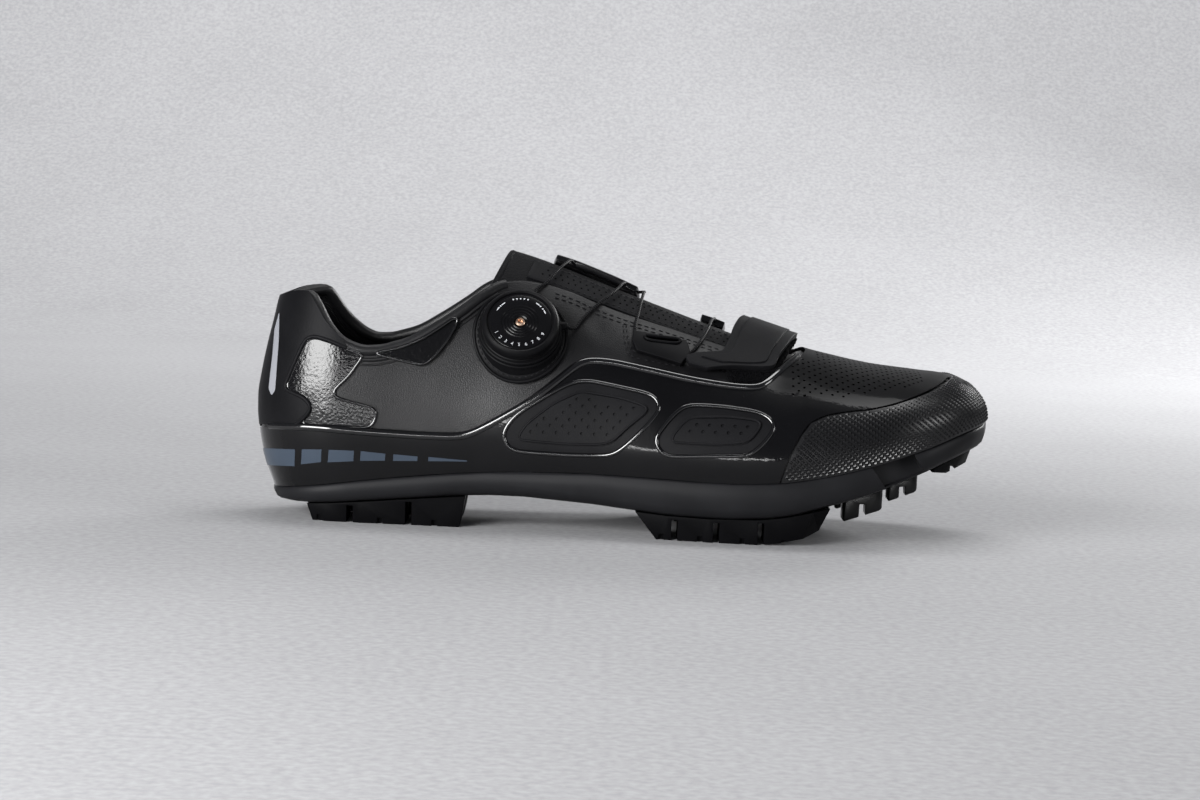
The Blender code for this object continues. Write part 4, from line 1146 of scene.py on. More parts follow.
TOE_CAP = (
    (0.706, 0.060), (0.715, 0.092), (0.724, 0.118), (0.736, 0.144), (0.748, 0.162),
    (0.768, 0.172), (0.796, 0.178), (0.825, 0.182), (0.856, 0.190), (0.880, 0.199),
    (0.902, 0.209), (0.920, 0.220), (0.937, 0.236), (0.9385, 0.260), (1.06, 0.260), (1.06, 0.060),
)
GUARD = (
    (-0.06, 0.030), (-0.06, 0.127), (0.038, 0.127), (0.090, 0.127), (0.150, 0.124),
    (0.220, 0.122), (0.276, 0.122), (0.296, 0.126), (0.330, 0.145), (0.376, 0.174),
    (0.420, 0.212), (0.436, 0.226), (0.452, 0.231), (0.480, 0.230), (0.530, 0.221),
    (0.590, 0.210), (0.640, 0.204), (0.672, 0.203), (0.684, 0.208), (0.698, 0.222),
    (0.712, 0.236), (0.726, 0.247), (0.738, 0.260), (0.742, 0.320), (0.936, 0.320),
    (0.936, 0.262), (0.9335, 0.2385), (0.918, 0.2228), (0.900, 0.2113), (0.879, 0.2013),
    (0.855, 0.1923), (0.825, 0.1842), (0.795, 0.1802), (0.767, 0.1743), (0.7462, 0.1635),
    (0.734, 0.1450), (0.722, 0.1188), (0.713, 0.0926), (0.704, 0.060), (0.700, 0.030),
)
REAR_WINDOW = (
    (0.338, 0.130), (0.354, 0.154), (0.392, 0.180), (0.424, 0.200), (0.448, 0.205),
    (0.500, 0.196), (0.534, 0.190), (0.546, 0.178), (0.544, 0.164), (0.520, 0.136),
    (0.498, 0.114), (0.482, 0.105), (0.420, 0.104), (0.356, 0.106), (0.344, 0.114),
)
FRONT_WINDOW = (
    (0.541, 0.130), (0.552, 0.148), (0.570, 0.170), (0.586, 0.178), (0.630, 0.177),
    (0.678, 0.172), (0.696, 0.162), (0.700, 0.150), (0.688, 0.132), (0.672, 0.116),
    (0.660, 0.112), (0.610, 0.110), (0.560, 0.107), (0.548, 0.114),
)
REAR_PAD = ((0.357, 0.1215), (0.370, 0.1430), (0.405, 0.1720), (0.440, 0.1900), (0.495, 0.1830),
            (0.527, 0.1740), (0.531, 0.1680), (0.500, 0.1400), (0.486, 0.1245), (0.470, 0.1195),
            (0.420, 0.1185))
FRONT_PAD = ((0.561, 0.1265), (0.570, 0.1430), (0.586, 0.1610), (0.640, 0.1640), (0.676, 0.1610),
             (0.683, 0.1560), (0.672, 0.1380), (0.661, 0.1300), (0.620, 0.1260))
HEEL_COUNTER = (
    (-0.06, 0.131), (0.067, 0.130), (0.082, 0.147), (0.083, 0.157), (0.072, 0.167),
    (0.046, 0.176), (0.058, 0.208), (0.073, 0.244), (0.084, 0.249), (0.106, 0.243),
    (0.130, 0.233), (0.118, 0.262), (0.094, 0.300), (0.070, 0.330), (-0.06, 0.330),
)
HEEL_PATCH = (
    (0.0690, 0.1306), (0.0840, 0.1462), (0.0852, 0.1575), (0.0732, 0.1688), (0.0484, 0.1776),
    (0.0600, 0.2074), (0.0742, 0.2420), (0.0850, 0.2470), (0.1060, 0.2412), (0.1320, 0.2312),
    (0.1520, 0.2265), (0.1460, 0.2190), (0.1320, 0.1970), (0.1100, 0.1755), (0.1160, 0.1675),
    (0.1390, 0.1620), (0.1640, 0.1575), (0.1710, 0.1500), (0.1690, 0.1400), (0.1630, 0.1292),
    (0.1100, 0.1300),
)
COLLAR_PATCH = (
    (0.162, 0.229), (0.190, 0.223), (0.226, 0.216), (0.236, 0.219), (0.250, 0.234),
    (0.266, 0.258), (0.276, 0.277), (0.270, 0.282), (0.252, 0.268), (0.226, 0.250),
    (0.200, 0.238),
)
DASHES = (
    ((-0.05, 0.076), (0.0640, 0.076), (0.0640, 0.0985), (-0.05, 0.0985)),
    ((0.0725, 0.0790), (0.0990, 0.0830), (0.0993, 0.1000), (0.0732, 0.0990)),
    ((0.1080, 0.0830), (0.1420, 0.0860), (0.1425, 0.1000), (0.1088, 0.1000)),
    ((0.1510, 0.0868), (0.1840, 0.0885), (0.1843, 0.0978), (0.1514, 0.0998)),
    ((0.1948, 0.0885), (0.2270, 0.0898), (0.2272, 0.0958), (0.1950, 0.0975)),
    ((0.2415, 0.0902), (0.2930, 0.0918), (0.2930, 0.0932), (0.2417, 0.0958)),
)
HEEL_STRIPE = ((0.0335, 0.280), (0.0375, 0.280), (0.0378, 0.243), (0.0350, 0.176), (0.0305, 0.169),
               (0.0262, 0.178), (0.0300, 0.225), (0.0320, 0.264))


@dataclass(frozen=True)
class Crease:
    """One soft trough of the upper; a ridge has a depth below zero.

    Attributes:
        side: the side of the shoe.
        along: station of its middle.
        rows: height of its middle, as a share of the rows.
        run: how far it runs along from its middle, as a share of the length.
        rise: how many rows it rises over that run.
        width: half its width in metres.
        depth: its depth in metres.
    """

    side: Side
    along: float
    rows: float
    run: float
    rise: float
    width: float
    depth: float

    def at(self, along: float, rows: float, length: float, girth: float) -> float:
        """How deep the crease is at a place.

        Args:
            along: share of the length.
            rows: share of the rows.
            length: the shoe's length.
            girth: metres for all the rows of one side.

        Returns:
            The depth there.
        """
        reach = Vector((self.run * length, self.rise * girth))
        off = Vector(((along - self.along) * length, (rows - self.rows) * girth))
        share = off.dot(reach) / reach.length_squared
        if abs(share) >= 1:
            return 0.0
        aside = (off - reach * share).length / self.width
        return self.depth * math.exp(-aside ** 2) * (1 - share ** 2) ** 2


CREASES = (
    Crease(Side.LATERAL, 0.105, 0.60, 0.018, -0.16, 0.0050, 0.0010),
    Crease(Side.LATERAL, 0.255, 0.46, 0.110, 0.02, 0.0130, 0.0011),
    Crease(Side.LATERAL, 0.330, 0.27, 0.060, 0.09, 0.0070, -0.0005),
    Crease(Side.LATERAL, 0.455, 0.62, 0.020, -0.10, 0.0045, 0.0005),
    Crease(Side.LATERAL, 0.205, 0.62, 0.040, 0.04, 0.0040, 0.0005),
    Crease(Side.LATERAL, 0.745, 0.86, 0.006, 0.22, 0.0050, 0.0004),
    Crease(Side.MEDIAL, 0.110, 0.58, 0.020, -0.15, 0.0050, 0.0009),
    Crease(Side.MEDIAL, 0.250, 0.48, 0.100, 0.03, 0.0130, 0.0010),
    Crease(Side.MEDIAL, 0.420, 0.45, 0.060, 0.12, 0.0080, 0.0007),
    Crease(Side.MEDIAL, 0.560, 0.58, 0.040, -0.08, 0.0060, 0.0005),
    Crease(Side.MEDIAL, 0.750, 0.86, 0.006, 0.22, 0.0050, 0.0004),
)


# ---------------------------------------------------------------- the upper and its panels


def within(outline: Sequence[Place], spot: Place, margin: float) -> bool:
    """Whether a place lies inside an outline, at least a margin from its edge.

    Args:
        outline: the closed outline.
        spot: the place.
        margin: the least distance from the edge.

    Returns:
        True if it does.
    """
    here = Vector(spot)
    odd = False
    for i, corner in enumerate(outline):
        a, b = Vector(outline[i - 1]), Vector(corner)
        if (a.y > here.y) != (b.y > here.y):
            if here.x < (b.x - a.x) * (here.y - a.y) / (b.y - a.y) + a.x:
                odd = not odd
        run = b - a
        share = min(max((here - a).dot(run) / max(run.length_squared, 1e-12), 0.0), 1.0)
        if (here - a - run * share).length < margin:
            return False
    return odd


@dataclass
class Shell:
    """Cuts panels from a thin shell over the last.

    Attributes:
        last: the last.
        overlay: thickness of a raised panel.
        panel: thickness of a thin gloss panel.
        girth: metres that all the rows of one side stand for, for the creases.
    """

    last: Last
    overlay: float = 0.0010
    panel: float = 0.0006
    girth: float = 0.095

    @property
    def tall(self) -> float:
        """Height of the side pattern in metres."""
        return self.last.pattern_tall * (self.last.sole_height + self.last.upper_height)

    @property
    def lift(self) -> Vector:
        """How far the panels are lifted clear of the upper."""
        return Vector((0, 0, 2 * self.last.clearance))

    def alongs(self, low: float, high: float, count: int) -> list[float]:
        """Stations between two shares of the length, closer at the round ends.

        Args:
            low: the first station.
            high: the last station.
            count: how many steps.

        Returns:
            The stations.
        """
        spots = []
        for i in range(count + 1):
            t = i / count
            if low <= self.last.heel_end:
                t = t - 0.5 * math.sin(math.pi * min(t / 0.25, 1.0)) * 0.25 / math.pi
            if high >= self.last.toe_end:
                back = 1 - t
                t = 1 - (back - 0.7 * math.sin(math.pi * min(back / 0.4, 1.0)) * 0.4 / math.pi)
            spots.append(low + (high - low) * t)
        spots[0], spots[-1] = low, high
        return spots

    def surface(self, side: Side, along: float, rows: float) -> Vector:
        """A point of the creased last, in the row's frame.

        Args:
            side: the side of the shoe.
            along: share of the length.
            rows: share of the rows.

        Returns:
            The point.
        """
        last = self.last
        spot = last.point(side, along, rows)
        depth = sum(crease.at(along, rows, last.length, self.girth) for crease in CREASES
                    if crease.side is side and abs(crease.along - along) < 0.15)
        if abs(depth) > 1e-5:
            spot = spot - last.normal(side, along, rows) * depth
        return last.row(spot)

    def skin(self, name: str, sides: Iterable[Side], low: float, high: float, lift: float,
             count: int, rows: int, floor: float = 0.0) -> bpy.types.Object:
        """The upper's outer surface between two stations, as an open sheet.

        Args:
            name: the sheet's name.
            sides: the sides that it covers.
            low: the first station.
            high: the last station.
            lift: how far outside the last it lies.
            count: faces along.
            rows: faces up each side.
            floor: the share of the rows where it starts.

        Returns:
            The sheet.
        """
        stations = self.alongs(low, high, count)
        halves = []
        for side in sides:
            tops = [self.last.edge_rows(side, along) for along in stations]

            def place(u: float, v: float, side: Side = side, tops: list[float] = tops) -> Vector:
                """A point of this side."""
                i = round(u * count)
                return self.surface(side, stations[i], floor + (tops[i] - floor) * v)

            halves.append(Bench.sheet(name, count, rows, place))
        sheet = Bench.clean(Bench.join(name, halves), 2e-6)
        middle = self.last.origin[1] + 0.003
        Bench.face_up(sheet, lambda spot: Vector((0, spot.y - middle, 0.004)))
        if lift:
            normals = [vert.normal.copy() for vert in sheet.data.vertices]
            for vert, normal in zip(sheet.data.vertices, normals):
                vert.co += normal * lift
        return sheet

    def prism(self, name: str, outline: Sequence[Place], side: Side,
              reach: float) -> bpy.types.Object:
        """A block that carries an outline of the side pattern through one side.

        Args:
            name: the block's name.
            outline: the outline in the pattern.
            side: the side that it cuts.
            reach: how far past the pattern's plane it goes inwards.

        Returns:
            The closed block.
        """
        eye = self.last.eye(side)
        Bench.clear()
        bpy.ops.mesh.primitive_circle_add(vertices=len(outline), radius=1.0, fill_type="NGON")
        block = Bench.named(name)
        for vert, (along, up) in zip(block.data.vertices, outline):
            vert.co = self._carried(side, eye, along, up, 0.030)
        with Bench.editing(block):
            bpy.ops.mesh.extrude_region()
        moved = [vert for vert in block.data.vertices if vert.select]
        for vert, (along, up) in zip(moved, outline):
            vert.co = self._carried(side, eye, along, up, -reach)
        return Bench.clean(block, 1e-7)

    def _carried(self, side: Side, eye: Vector, along: float, up: float, depth: float) -> Vector:
        """A pattern point carried along its sight line to a depth."""
        ray = self.last.drawn(side, along, up) - eye
        share = (side.value * (self.last.pattern_side + depth) - eye.y) / ray.y
        return self.last.row(eye + ray * share)

    def both_sides(self, name: str, outline: Sequence[Place]) -> bpy.types.Object:
        """One block that carries an outline through both sides.

        Args:
            name: the block's name.
            outline: the outline in the pattern.

        Returns:
            The closed block.
        """
        blocks = [self.prism(f"{name}_{side.name}", outline, side, self.last.pattern_side * 1.1)
                  for side in Side]
        return Bench.boolean(blocks[0], blocks[1], "UNION")

    def roll(self, name: str, outline: Sequence[Place], side: Side, above: float, radius: float,
             closed: bool = True, spacing: float = 0.0012) -> bpy.types.Object:
        """A rounded lip along an outline.

        Args:
            name: the lip's name.
            outline: the outline in the pattern.
            side: the side of the shoe.
            above: how high its middle lies above the last.
            radius: its radius.
            closed: whether it closes.
            spacing: distance between its rings.

        Returns:
            The lip as a tube.
        """
        flat = [Vector((along * self.last.length, up * self.tall, 0)) for along, up in outline]
        if closed:
            flat.append(flat[0])
        route = []
        for before, after in zip(flat, flat[1:]):
            steps = max(round((after - before).length / (2 * spacing)), 1)
            for step in range(steps):
                spot = before.lerp(after, step / steps)
                on, _ = self.last.under_pattern(side, spot.x / self.last.length,
                                                spot.y / self.tall, above)
                route.append(on + self.lift)
        for _ in range(3):
            after = route[1:] + (route[:1] if closed else route[-1:])
            before = (route[-1:] if closed else route[:1]) + route[:-1]
            route = [(a + 2 * b + c) / 4 for a, b, c in zip(before, route, after)]
        return Bench.tube(name, spline_route(route, spacing, closed), radius, closed, 2)

    def below_edge(self, side: Side, along: float, drop: float, above: float) -> Vector:
        """A point a distance below the collar or throat edge.

        Args:
            side: the side of the shoe.
            along: share of the length.
            drop: distance below the edge, along the surface.
            above: height above the last.

        Returns:
            The point.
        """
        last = self.last
        top = last.edge_rows(side, along)
        step = (last.point(side, along, top) - last.point(side, along, top - 0.02)).length / 0.02
        rows = min(top - drop / max(step, 1e-4), 0.995)
        return self.surface(side, along, rows) + last.normal(side, along, rows) * above

    def rings(self, side: Side, low: float, high: float, pitch: float, across: float,
              from_top: bool) -> list[Place]:
        """Staggered places on the last, evenly spaced over its surface.

        Args:
            side: the side of the shoe.
            low: the first station.
            high: the last station.
            pitch: distance between neighbouring stations.
            across: distance between neighbours on a station.
            from_top: whether the rows are counted from the crown.

        Returns:
            Shares of the length and of the rows.
        """
        last = self.last
        walk = [low + (high - low) * i / 160 for i in range(161)]
        spots = [last.point(side, along, 0.3) for along in walk]
        gone = [0.0]
        for before, after in zip(spots, spots[1:]):
            gone.append(gone[-1] + (after - before).length)
        station = curve_through(gone, walk)
        found = []
        for i in range(int(gone[-1] / pitch)):
            along = station(i * pitch)
            levels = [j / 40 for j in range(41)]
            if from_top:
                levels.reverse()
            column = [last.point(side, along, level) for level in levels]
            climbed = [0.0]
            for before, after in zip(column, column[1:]):
                climbed.append(climbed[-1] + max((after - before).length, 1e-7))
            level = curve_through(climbed, levels)
            start = across * (0.5 if i % 2 else 0.0)
            found += [(along, level(start + k * across))
                      for k in range(int((climbed[-1] - start) / across) + 1)]
        return found


@dataclass
class Thread:
    """Sewn stitches and other small repeated shapes.

    Attributes:
        length: length of a stitch.
        gap: distance between stitches.
        radius: radius of the thread.
    """

    length: float = 0.0019
    gap: float = 0.0009
    radius: float = 0.00024

    def sew(self, name: str, routes: Iterable[Sequence[Vector]],
            finish: Finish) -> bpy.types.Object:
        """Sews stitches along routes.

        Args:
            name: the piece's name.
            routes: the seams, as points in the row's frame.
            finish: the thread's finish.

        Returns:
            All the stitches as one piece.
        """
        Bench.clear()
        bpy.ops.mesh.primitive_uv_sphere_add(segments=6, ring_count=4, radius=1.0)
        bead = Bench.named("stitch")
        bead.data.transform(Matrix.Rotation(math.pi / 2, 4, "Y"))
        bead.data.transform(Matrix.Diagonal((self.length / 2, self.radius, self.radius, 1)))
        frames = []
        for route in routes:
            dense = spline_route(route, 0.0003)
            step = (self.length + self.gap) / 0.0003
            for i in range(int((len(dense) - 8) / step)):
                start, end = dense[int(i * step)], dense[int(i * step) + 6]
                ahead = (end - start).normalized()
                frames.append(Bench.frame_at((start + end) / 2, ahead.orthogonal(), ahead))
        made = Bench.scatter(name, bead, frames)
        return Bench.dress(Bench.smooth(made, 80), finish)


@dataclass
class Upper:
    """The upper's shell, its padded collar, bindings and seams.

    Attributes:
        shell: the panel cutter.
        collar_radius: half the thickness of the collar's padding.
        binding_radius: half the thickness of the throat's binding.
        welt_radius: radius of the piping under the collar.
    """

    shell: Shell
    collar_radius: float = 0.0024
    binding_radius: float = 0.00125
    welt_radius: float = 0.0008

    def build(self) -> None:
        """Makes and dresses the shell and its edges."""
        last = self.shell.last
        skin = self.shell.skin("upper_shell", Side, last.heel_end, last.toe_end, 0.0, 170, 48)
        for vert in skin.data.vertices:
            vert.co.z += last.clearance
        skin.data.materials.append(MATTE.material())
        skin.data.materials.append(LINING.material())
        Bench.wall(skin, last.wall, False, inner_slot=1)
        Bench.dress(Bench.smooth(skin), MATTE, "upper")
        self._collar()
        self._throat()

    def _round(self, drop: float, above: float, reach: float = 0.335) -> list[Vector]:
        """A route round the collar from the lateral to the medial side.

        Args:
            drop: distance below the edge.
            above: height above the last.
            reach: the station where it ends on both sides.

        Returns:
            The points.
        """
        start = self.shell.last.heel_end + 0.005
        halves = []
        for side in Side:
            halves.append([self.shell.below_edge(side, start + (reach - start) * i / 46, drop,
                                                 above) for i in range(47)])
        return spline_route(halves[0][::-1] + halves[1], 0.0015)

    def _collar(self) -> None:
        """The padded roll round the foot's opening, with its piping."""
        wall = self.shell.last.wall
        roll = Bench.tube("collar_roll", self._round(0.0010, -wall * 0.55), self.collar_radius,
                          sides=4)
        Bench.dress(roll, MATTE)
        for name, drop, above, radius in (
                ("collar_piping", 0.0044, 0.0002, self.welt_radius),
                ("collar_seam", 0.0064, 0.0000, self.welt_radius * 0.55),
                ("lining_seam", 0.0060, -wall - 0.0001, self.welt_radius * 0.6)):
            welt = Bench.tube(name, self._round(drop, above, 0.325), radius)
            Bench.dress(welt, LINING if name == "lining_seam" else MATTE)

    def _throat(self) -> None:
        """The bound edge of the throat and the two rows of stitches beside it."""
        last = self.shell.last
        front = last.throat_front - 0.002
        seams = []
        for side in Side:
            edge = [self.shell.below_edge(side, 0.33 + (front - 0.33) * i / 60, 0.0006,
                                          -last.wall * 0.45) for i in range(61)]
            tube = Bench.tube(f"throat_binding_{side.name.lower()}", spline_route(edge, 0.0015),
                              self.binding_radius)
            Bench.dress(tube, MATTE)
            for drop in (0.0030, 0.0049):
                seams.append([self.shell.below_edge(side, 0.40 + 0.235 * i / 40, drop, 0.00035)
                              for i in range(41)])
        Thread().sew("throat_stitches", seams, THREAD)


@dataclass
class Panels:
    """The raised panels over the upper.

    Attributes:
        shell: the panel cutter.
        lip: radius of the rounded lip round a panel.
        guard_lip_share: radius of the wrap's rim, in lips.
        dot_pitch: distance between the rows of the toe cap's raised dots.
        dot_across: distance between neighbouring dots of a row.
        hole_radius: radius of the vent holes.
        pad_hole_share: radius of the pads' holes, in vent holes.
    """

    shell: Shell
    lip: float = 0.00085
    guard_lip_share: float = 1.9
    dot_pitch: float = 0.00115
    dot_across: float = 0.0021
    hole_radius: float = 0.00052
    pad_hole_share: float = 1.25

    def build(self) -> None:
        """Makes and dresses all the panels."""
        self._guard()
        self._toe_cap()
        self._counter()
        for side in Side:
            self._patch(f"heel_patch_{side.name.lower()}", HEEL_PATCH, side, 0.030, 0.20)
            self._patch(f"collar_patch_{side.name.lower()}", COLLAR_PATCH, side, 0.14, 0.31)
            for name, window, pad in (("rear", REAR_WINDOW, REAR_PAD),
                                      ("front", FRONT_WINDOW, FRONT_PAD)):
                self._window(f"{name}_window_{side.name.lower()}", window, pad, side)
        self._prints()

    def _solid(self, name: str, sides: Iterable[Side], low: float, high: float, count: int,
               rows: int, thickness: float, lift: float | None = None,
               floor: float = 0.0) -> bpy.types.Object:
        """A closed shell piece over part of the last.

        Args:
            name: the piece's name.
            sides: the sides that it covers.
            low: the first station.
            high: the last station.
            count: faces along.
            rows: faces up each side.
            thickness: its wall.
            lift: how far outside the last it starts, or the clearance.
            floor: the share of the rows where it starts.

        Returns:
            The closed piece.
        """
        last = self.shell.last
        skin = self.shell.skin(name, sides, low, high, last.clearance if lift is None else lift,
                               count, rows, floor)
        for vert in skin.data.vertices:
            vert.co += self.shell.lift
        return Bench.wall(skin, thickness, True)

    def _lips(self, name: str, outlines: Sequence[Sequence[Place]], sides: Iterable[Side],
              thickness: float, radius: float, finish: Finish, closed: bool) -> None:
        """Rounded lips along the edges of a panel.

        Args:
            name: the piece's name.
            outlines: the edges in the pattern.
            sides: the sides that have them.
            thickness: the panel's thickness.
            radius: the lips' radius.
            finish: their finish.
            closed: whether the edges close.
        """
        above = self.shell.last.clearance + thickness - radius * 0.25
        rolls = [self.shell.roll("lip", outline, side, above, radius, closed)
                 for side in sides for outline in outlines]
        Bench.dress(Bench.smooth(Bench.join(name, rolls), 60), finish)

    def _drill(self, panel: bpy.types.Object, finish: Finish,
               places: Sequence[tuple[Vector, Vector]], depth: float, radius: float) -> None:
        """Drills round holes in a panel, a few at a time, with their insides painted near black as
        shade.

        Args:
            panel: the panel.
            finish: the panel's finish.
            places: a point on the outer surface and the normal there, for each hole.
            depth: how deep the holes go.
            radius: their radius.
        """
        panel.data.materials.append(finish.material())
        groups = [list(places[start:start + 24]) for start in range(0, len(places), 24)]
        while groups:
            group = groups.pop(0)
            Bench.clear()
            bpy.ops.mesh.primitive_cylinder_add(vertices=10, radius=radius,
                                                depth=depth + 0.002)
            pin = Bench.named("pin")
            pin.data.transform(Matrix.Translation((0, 0, 0.001 - depth / 2)))
            # The cutter's near-black finish passes to the holes' walls and floors: painted shade
            # inside the holes.
            pin.data.materials.append(HOLE_SHADE.material())
            pins = Bench.scatter("pins", pin, [Bench.frame_at(spot, normal, normal.orthogonal())
                                               for spot, normal in group])
            before = panel.data.copy()
            Bench.boolean(panel, pins, "DIFFERENCE")
            if len(panel.data.polygons) < len(before.polygons):
                panel.data = before
                half = len(group) // 2
                groups += [part for part in (group[:half], group[half:]) if part and half]

    def _guard(self) -> None:
        """The gloss wrap with its windows and the vent holes over the toes."""
        last = self.shell.last
        guard = self._solid("guard_wrap", Side, last.heel_end, last.toe_end, 170, 52,
                            self.shell.overlay)
        outline = rounded_outline(GUARD, 0.012, 3)
        Bench.boolean(guard, self.shell.both_sides("guard_block", outline), "INTERSECT")
        windows = [rounded_outline(window, 0.012) for window in (REAR_WINDOW, FRONT_WINDOW)]
        for side in Side:
            for window in windows:
                block = self.shell.prism("window_block", window, side, last.pattern_side)
                Bench.boolean(guard, block, "DIFFERENCE")
        self._drill(guard, GUARD_GLOSS, self._vents(), self.shell.overlay + 0.0004,
                    self.hole_radius)
        Bench.dress(Bench.smooth(guard, 30), GUARD_GLOSS, "guard")
        self._lips("guard_rim", [outline[8:88]], Side, self.shell.overlay,
                   self.lip * self.guard_lip_share, RIM, False)
        self._lips("window_rims", windows, Side, self.shell.overlay, self.lip, RIM, True)

    def _vents(self) -> list[tuple[Vector, Vector]]:
        """The places of the vent holes over the toes.

        Returns:
            A point and a normal for each.
        """
        last = self.shell.last
        above = last.clearance + self.shell.overlay
        places = []
        for side in Side:
            for along, rows in self.shell.rings(side, 0.722, 0.905, 0.0021, 0.0042, True):
                spot = last.point(side, along, rows)
                low = 0.0548 + max(0.0, along - 0.79) * 0.045
                if spot.z < low or (side is Side.LATERAL and rows > 0.985):
                    continue
                if along < last.throat_front + 0.016 and rows > 0.80:
                    continue
                normal = last.normal(side, along, min(rows, 0.99))
                here = last.row(spot + normal * above) + self.shell.lift
                if all((here - other).length > 0.0024 for other, _ in places):
                    places.append((here, normal))
        return places

    def _toe_cap(self) -> None:
        """The toe cap and its field of raised dots."""
        last = self.shell.last
        cap = self._solid("toe_cap_shell", Side, 0.690, last.toe_end, 90, 40, self.shell.overlay)
        Bench.boolean(cap, self.shell.both_sides("cap_block", TOE_CAP), "INTERSECT")
        Bench.dress(Bench.smooth(cap, 30), CAP, "toe_cap")
        outline = [(along * last.length, up * self.shell.tall) for along, up in TOE_CAP]
        above = last.clearance + self.shell.overlay
        frames = []
        for side in Side:
            for along, rows in self.shell.rings(side, 0.700, last.toe_end - 0.001,
                                                self.dot_pitch, self.dot_across, False):
                if not 0.02 < rows < 0.985:
                    continue
                normal = last.normal(side, along, rows)
                spot = last.point(side, along, rows) + normal * above
                if not within(outline, last.seen(side, spot), 0.0010):
                    continue
                ahead = last.point(side, min(along + 0.003, last.toe_end), rows) - last.point(
                    side, along - 0.003, rows)
                frames.append(Bench.frame_at(last.row(spot) + self.shell.lift, normal, ahead))
        Bench.clear()
        bpy.ops.mesh.primitive_cone_add(vertices=4, radius1=0.00112, radius2=0.00022,
                                        depth=0.00074, end_fill_type="NGON")
        dot = Bench.named("dot")
        dot.data.transform(Matrix.Translation((0, 0, 0.00016)))
        Bench.dress(Bench.scatter("toe_cap_dots", dot, frames), CAP)

    def _counter(self) -> None:
        """The matt cup round the heel."""
        last = self.shell.last
        cup = self._solid("heel_cup", Side, last.heel_end, 0.150, 44, 60, self.shell.overlay)
        outline = rounded_outline(HEEL_COUNTER, 0.005, 3)
        Bench.boolean(cup, self.shell.both_sides("cup_block", outline), "INTERSECT")
        Bench.dress(Bench.smooth(cup, 30), CUP, "heel_counter")
        self._lips("heel_cup_rim", [outline[4:44]], Side, self.shell.overlay, self.lip,
                   CUP, False)

    def _patch(self, name: str, outline: Sequence[Place], side: Side, low: float,
               high: float) -> None:
        """A thin gloss panel on one side.

        Args:
            name: the CAD node that it stands for.
            outline: its outline in the pattern.
            side: the side of the shoe.
            low: the first station of the shell it is cut from.
            high: the last one.
        """
        patch = self._solid(f"{name}_gloss", (side,), low, high, 80, 70, self.shell.panel)
        outline = rounded_outline(outline, 0.004, 2)
        block = self.shell.prism("patch_block", outline, side, self.shell.last.pattern_side)
        Bench.boolean(patch, block, "INTERSECT")
        Bench.dress(Bench.smooth(patch, 30), PATENT, name)
        self._lips(f"{name}_rim", [outline], (side,),
                   self.shell.panel, self.lip * 0.7, RIM, True)

    def _window(self, name: str, window: Sequence[Place], pad: Sequence[Place],
                side: Side) -> None:
        """The matt pad that shows in a window, with its pinholes.

        Args:
            name: the start of its pieces' names.
            window: the window's outline in the pattern.
            pad: the raised pad's outline.
            side: the side of the shoe.
        """
        last = self.shell.last
        low = min(spot[0] for spot in window) - 0.02
        high = max(spot[0] for spot in window) + 0.02
        bed = self._solid(f"{name}_bed", (side,), low, high, 50, 44, 0.0005)
        Bench.boolean(bed, self.shell.prism("bed_block", rounded_outline(window, 0.012), side,
                                            last.pattern_side), "INTERSECT")
        Bench.dress(Bench.smooth(bed, 30), PAD)
        shape = rounded_outline(pad, 0.008)
        raised = self._solid(f"{name}_pad", (side,), low, high, 50, 44, 0.0010)
        Bench.boolean(raised, self.shell.prism("pad_block", shape, side, last.pattern_side),
                      "INTERSECT")
        outline = [(along * last.length, up * self.shell.tall) for along, up in shape]
        places = []
        for i in range(60):
            for j in range(30):
                x = 0.095 + i * 0.0024
                z = 0.030 + j * 0.0026
                if (i + j) % 2 or not within(outline, (x, z), 0.0021):
                    continue
                places.append(last.under_pattern(side, x / last.length, z / self.shell.tall,
                                                 last.clearance + 0.0010))
        self._drill(raised, PAD, [(on + self.shell.lift, normal) for on, normal in places],
                    0.0008, self.hole_radius * self.pad_hole_share)
        Bench.dress(Bench.smooth(raised, 30), PAD)
        self._lips(f"{name}_ridge", [shape], (side,), 0.0010, self.lip * 0.6, PAD, True)

    def _prints(self) -> None:
        """The dashes round the heel and the pale stripe up its back."""
        last = self.shell.last
        lift = last.clearance + self.shell.overlay + 0.00004
        dashes = self._solid("blue_dashes", Side, last.heel_end, 0.31, 90, 30, 0.00006, lift)
        blocks = []
        for side in Side:
            for outline in DASHES:
                reach = 1.1 if outline is DASHES[0] else 0.8
                blocks.append(self.shell.prism("dash", outline, side,
                                               last.pattern_side * reach))
        heel = Bench.boolean(blocks[0], blocks.pop(len(DASHES)), "UNION")
        block = Bench.join("dash_blocks", [heel] + blocks[1:])
        Bench.boolean(dashes, block, "INTERSECT")
        Bench.dress(Bench.smooth(dashes, 30), PRINT_BLUE)
        stripe = self._solid("heel_stripe", Side, last.heel_end, 0.08, 40, 50, 0.00010, lift)
        outline = rounded_outline(HEEL_STRIPE, 0.003)
        lateral = self.shell.prism("stripe_block", outline, Side.LATERAL, 0.020)
        Bench.boolean(stripe, lateral, "INTERSECT")
        Bench.dress(Bench.smooth(stripe, 30), STRIPE)


# ---------------------------------------------------------------- sole


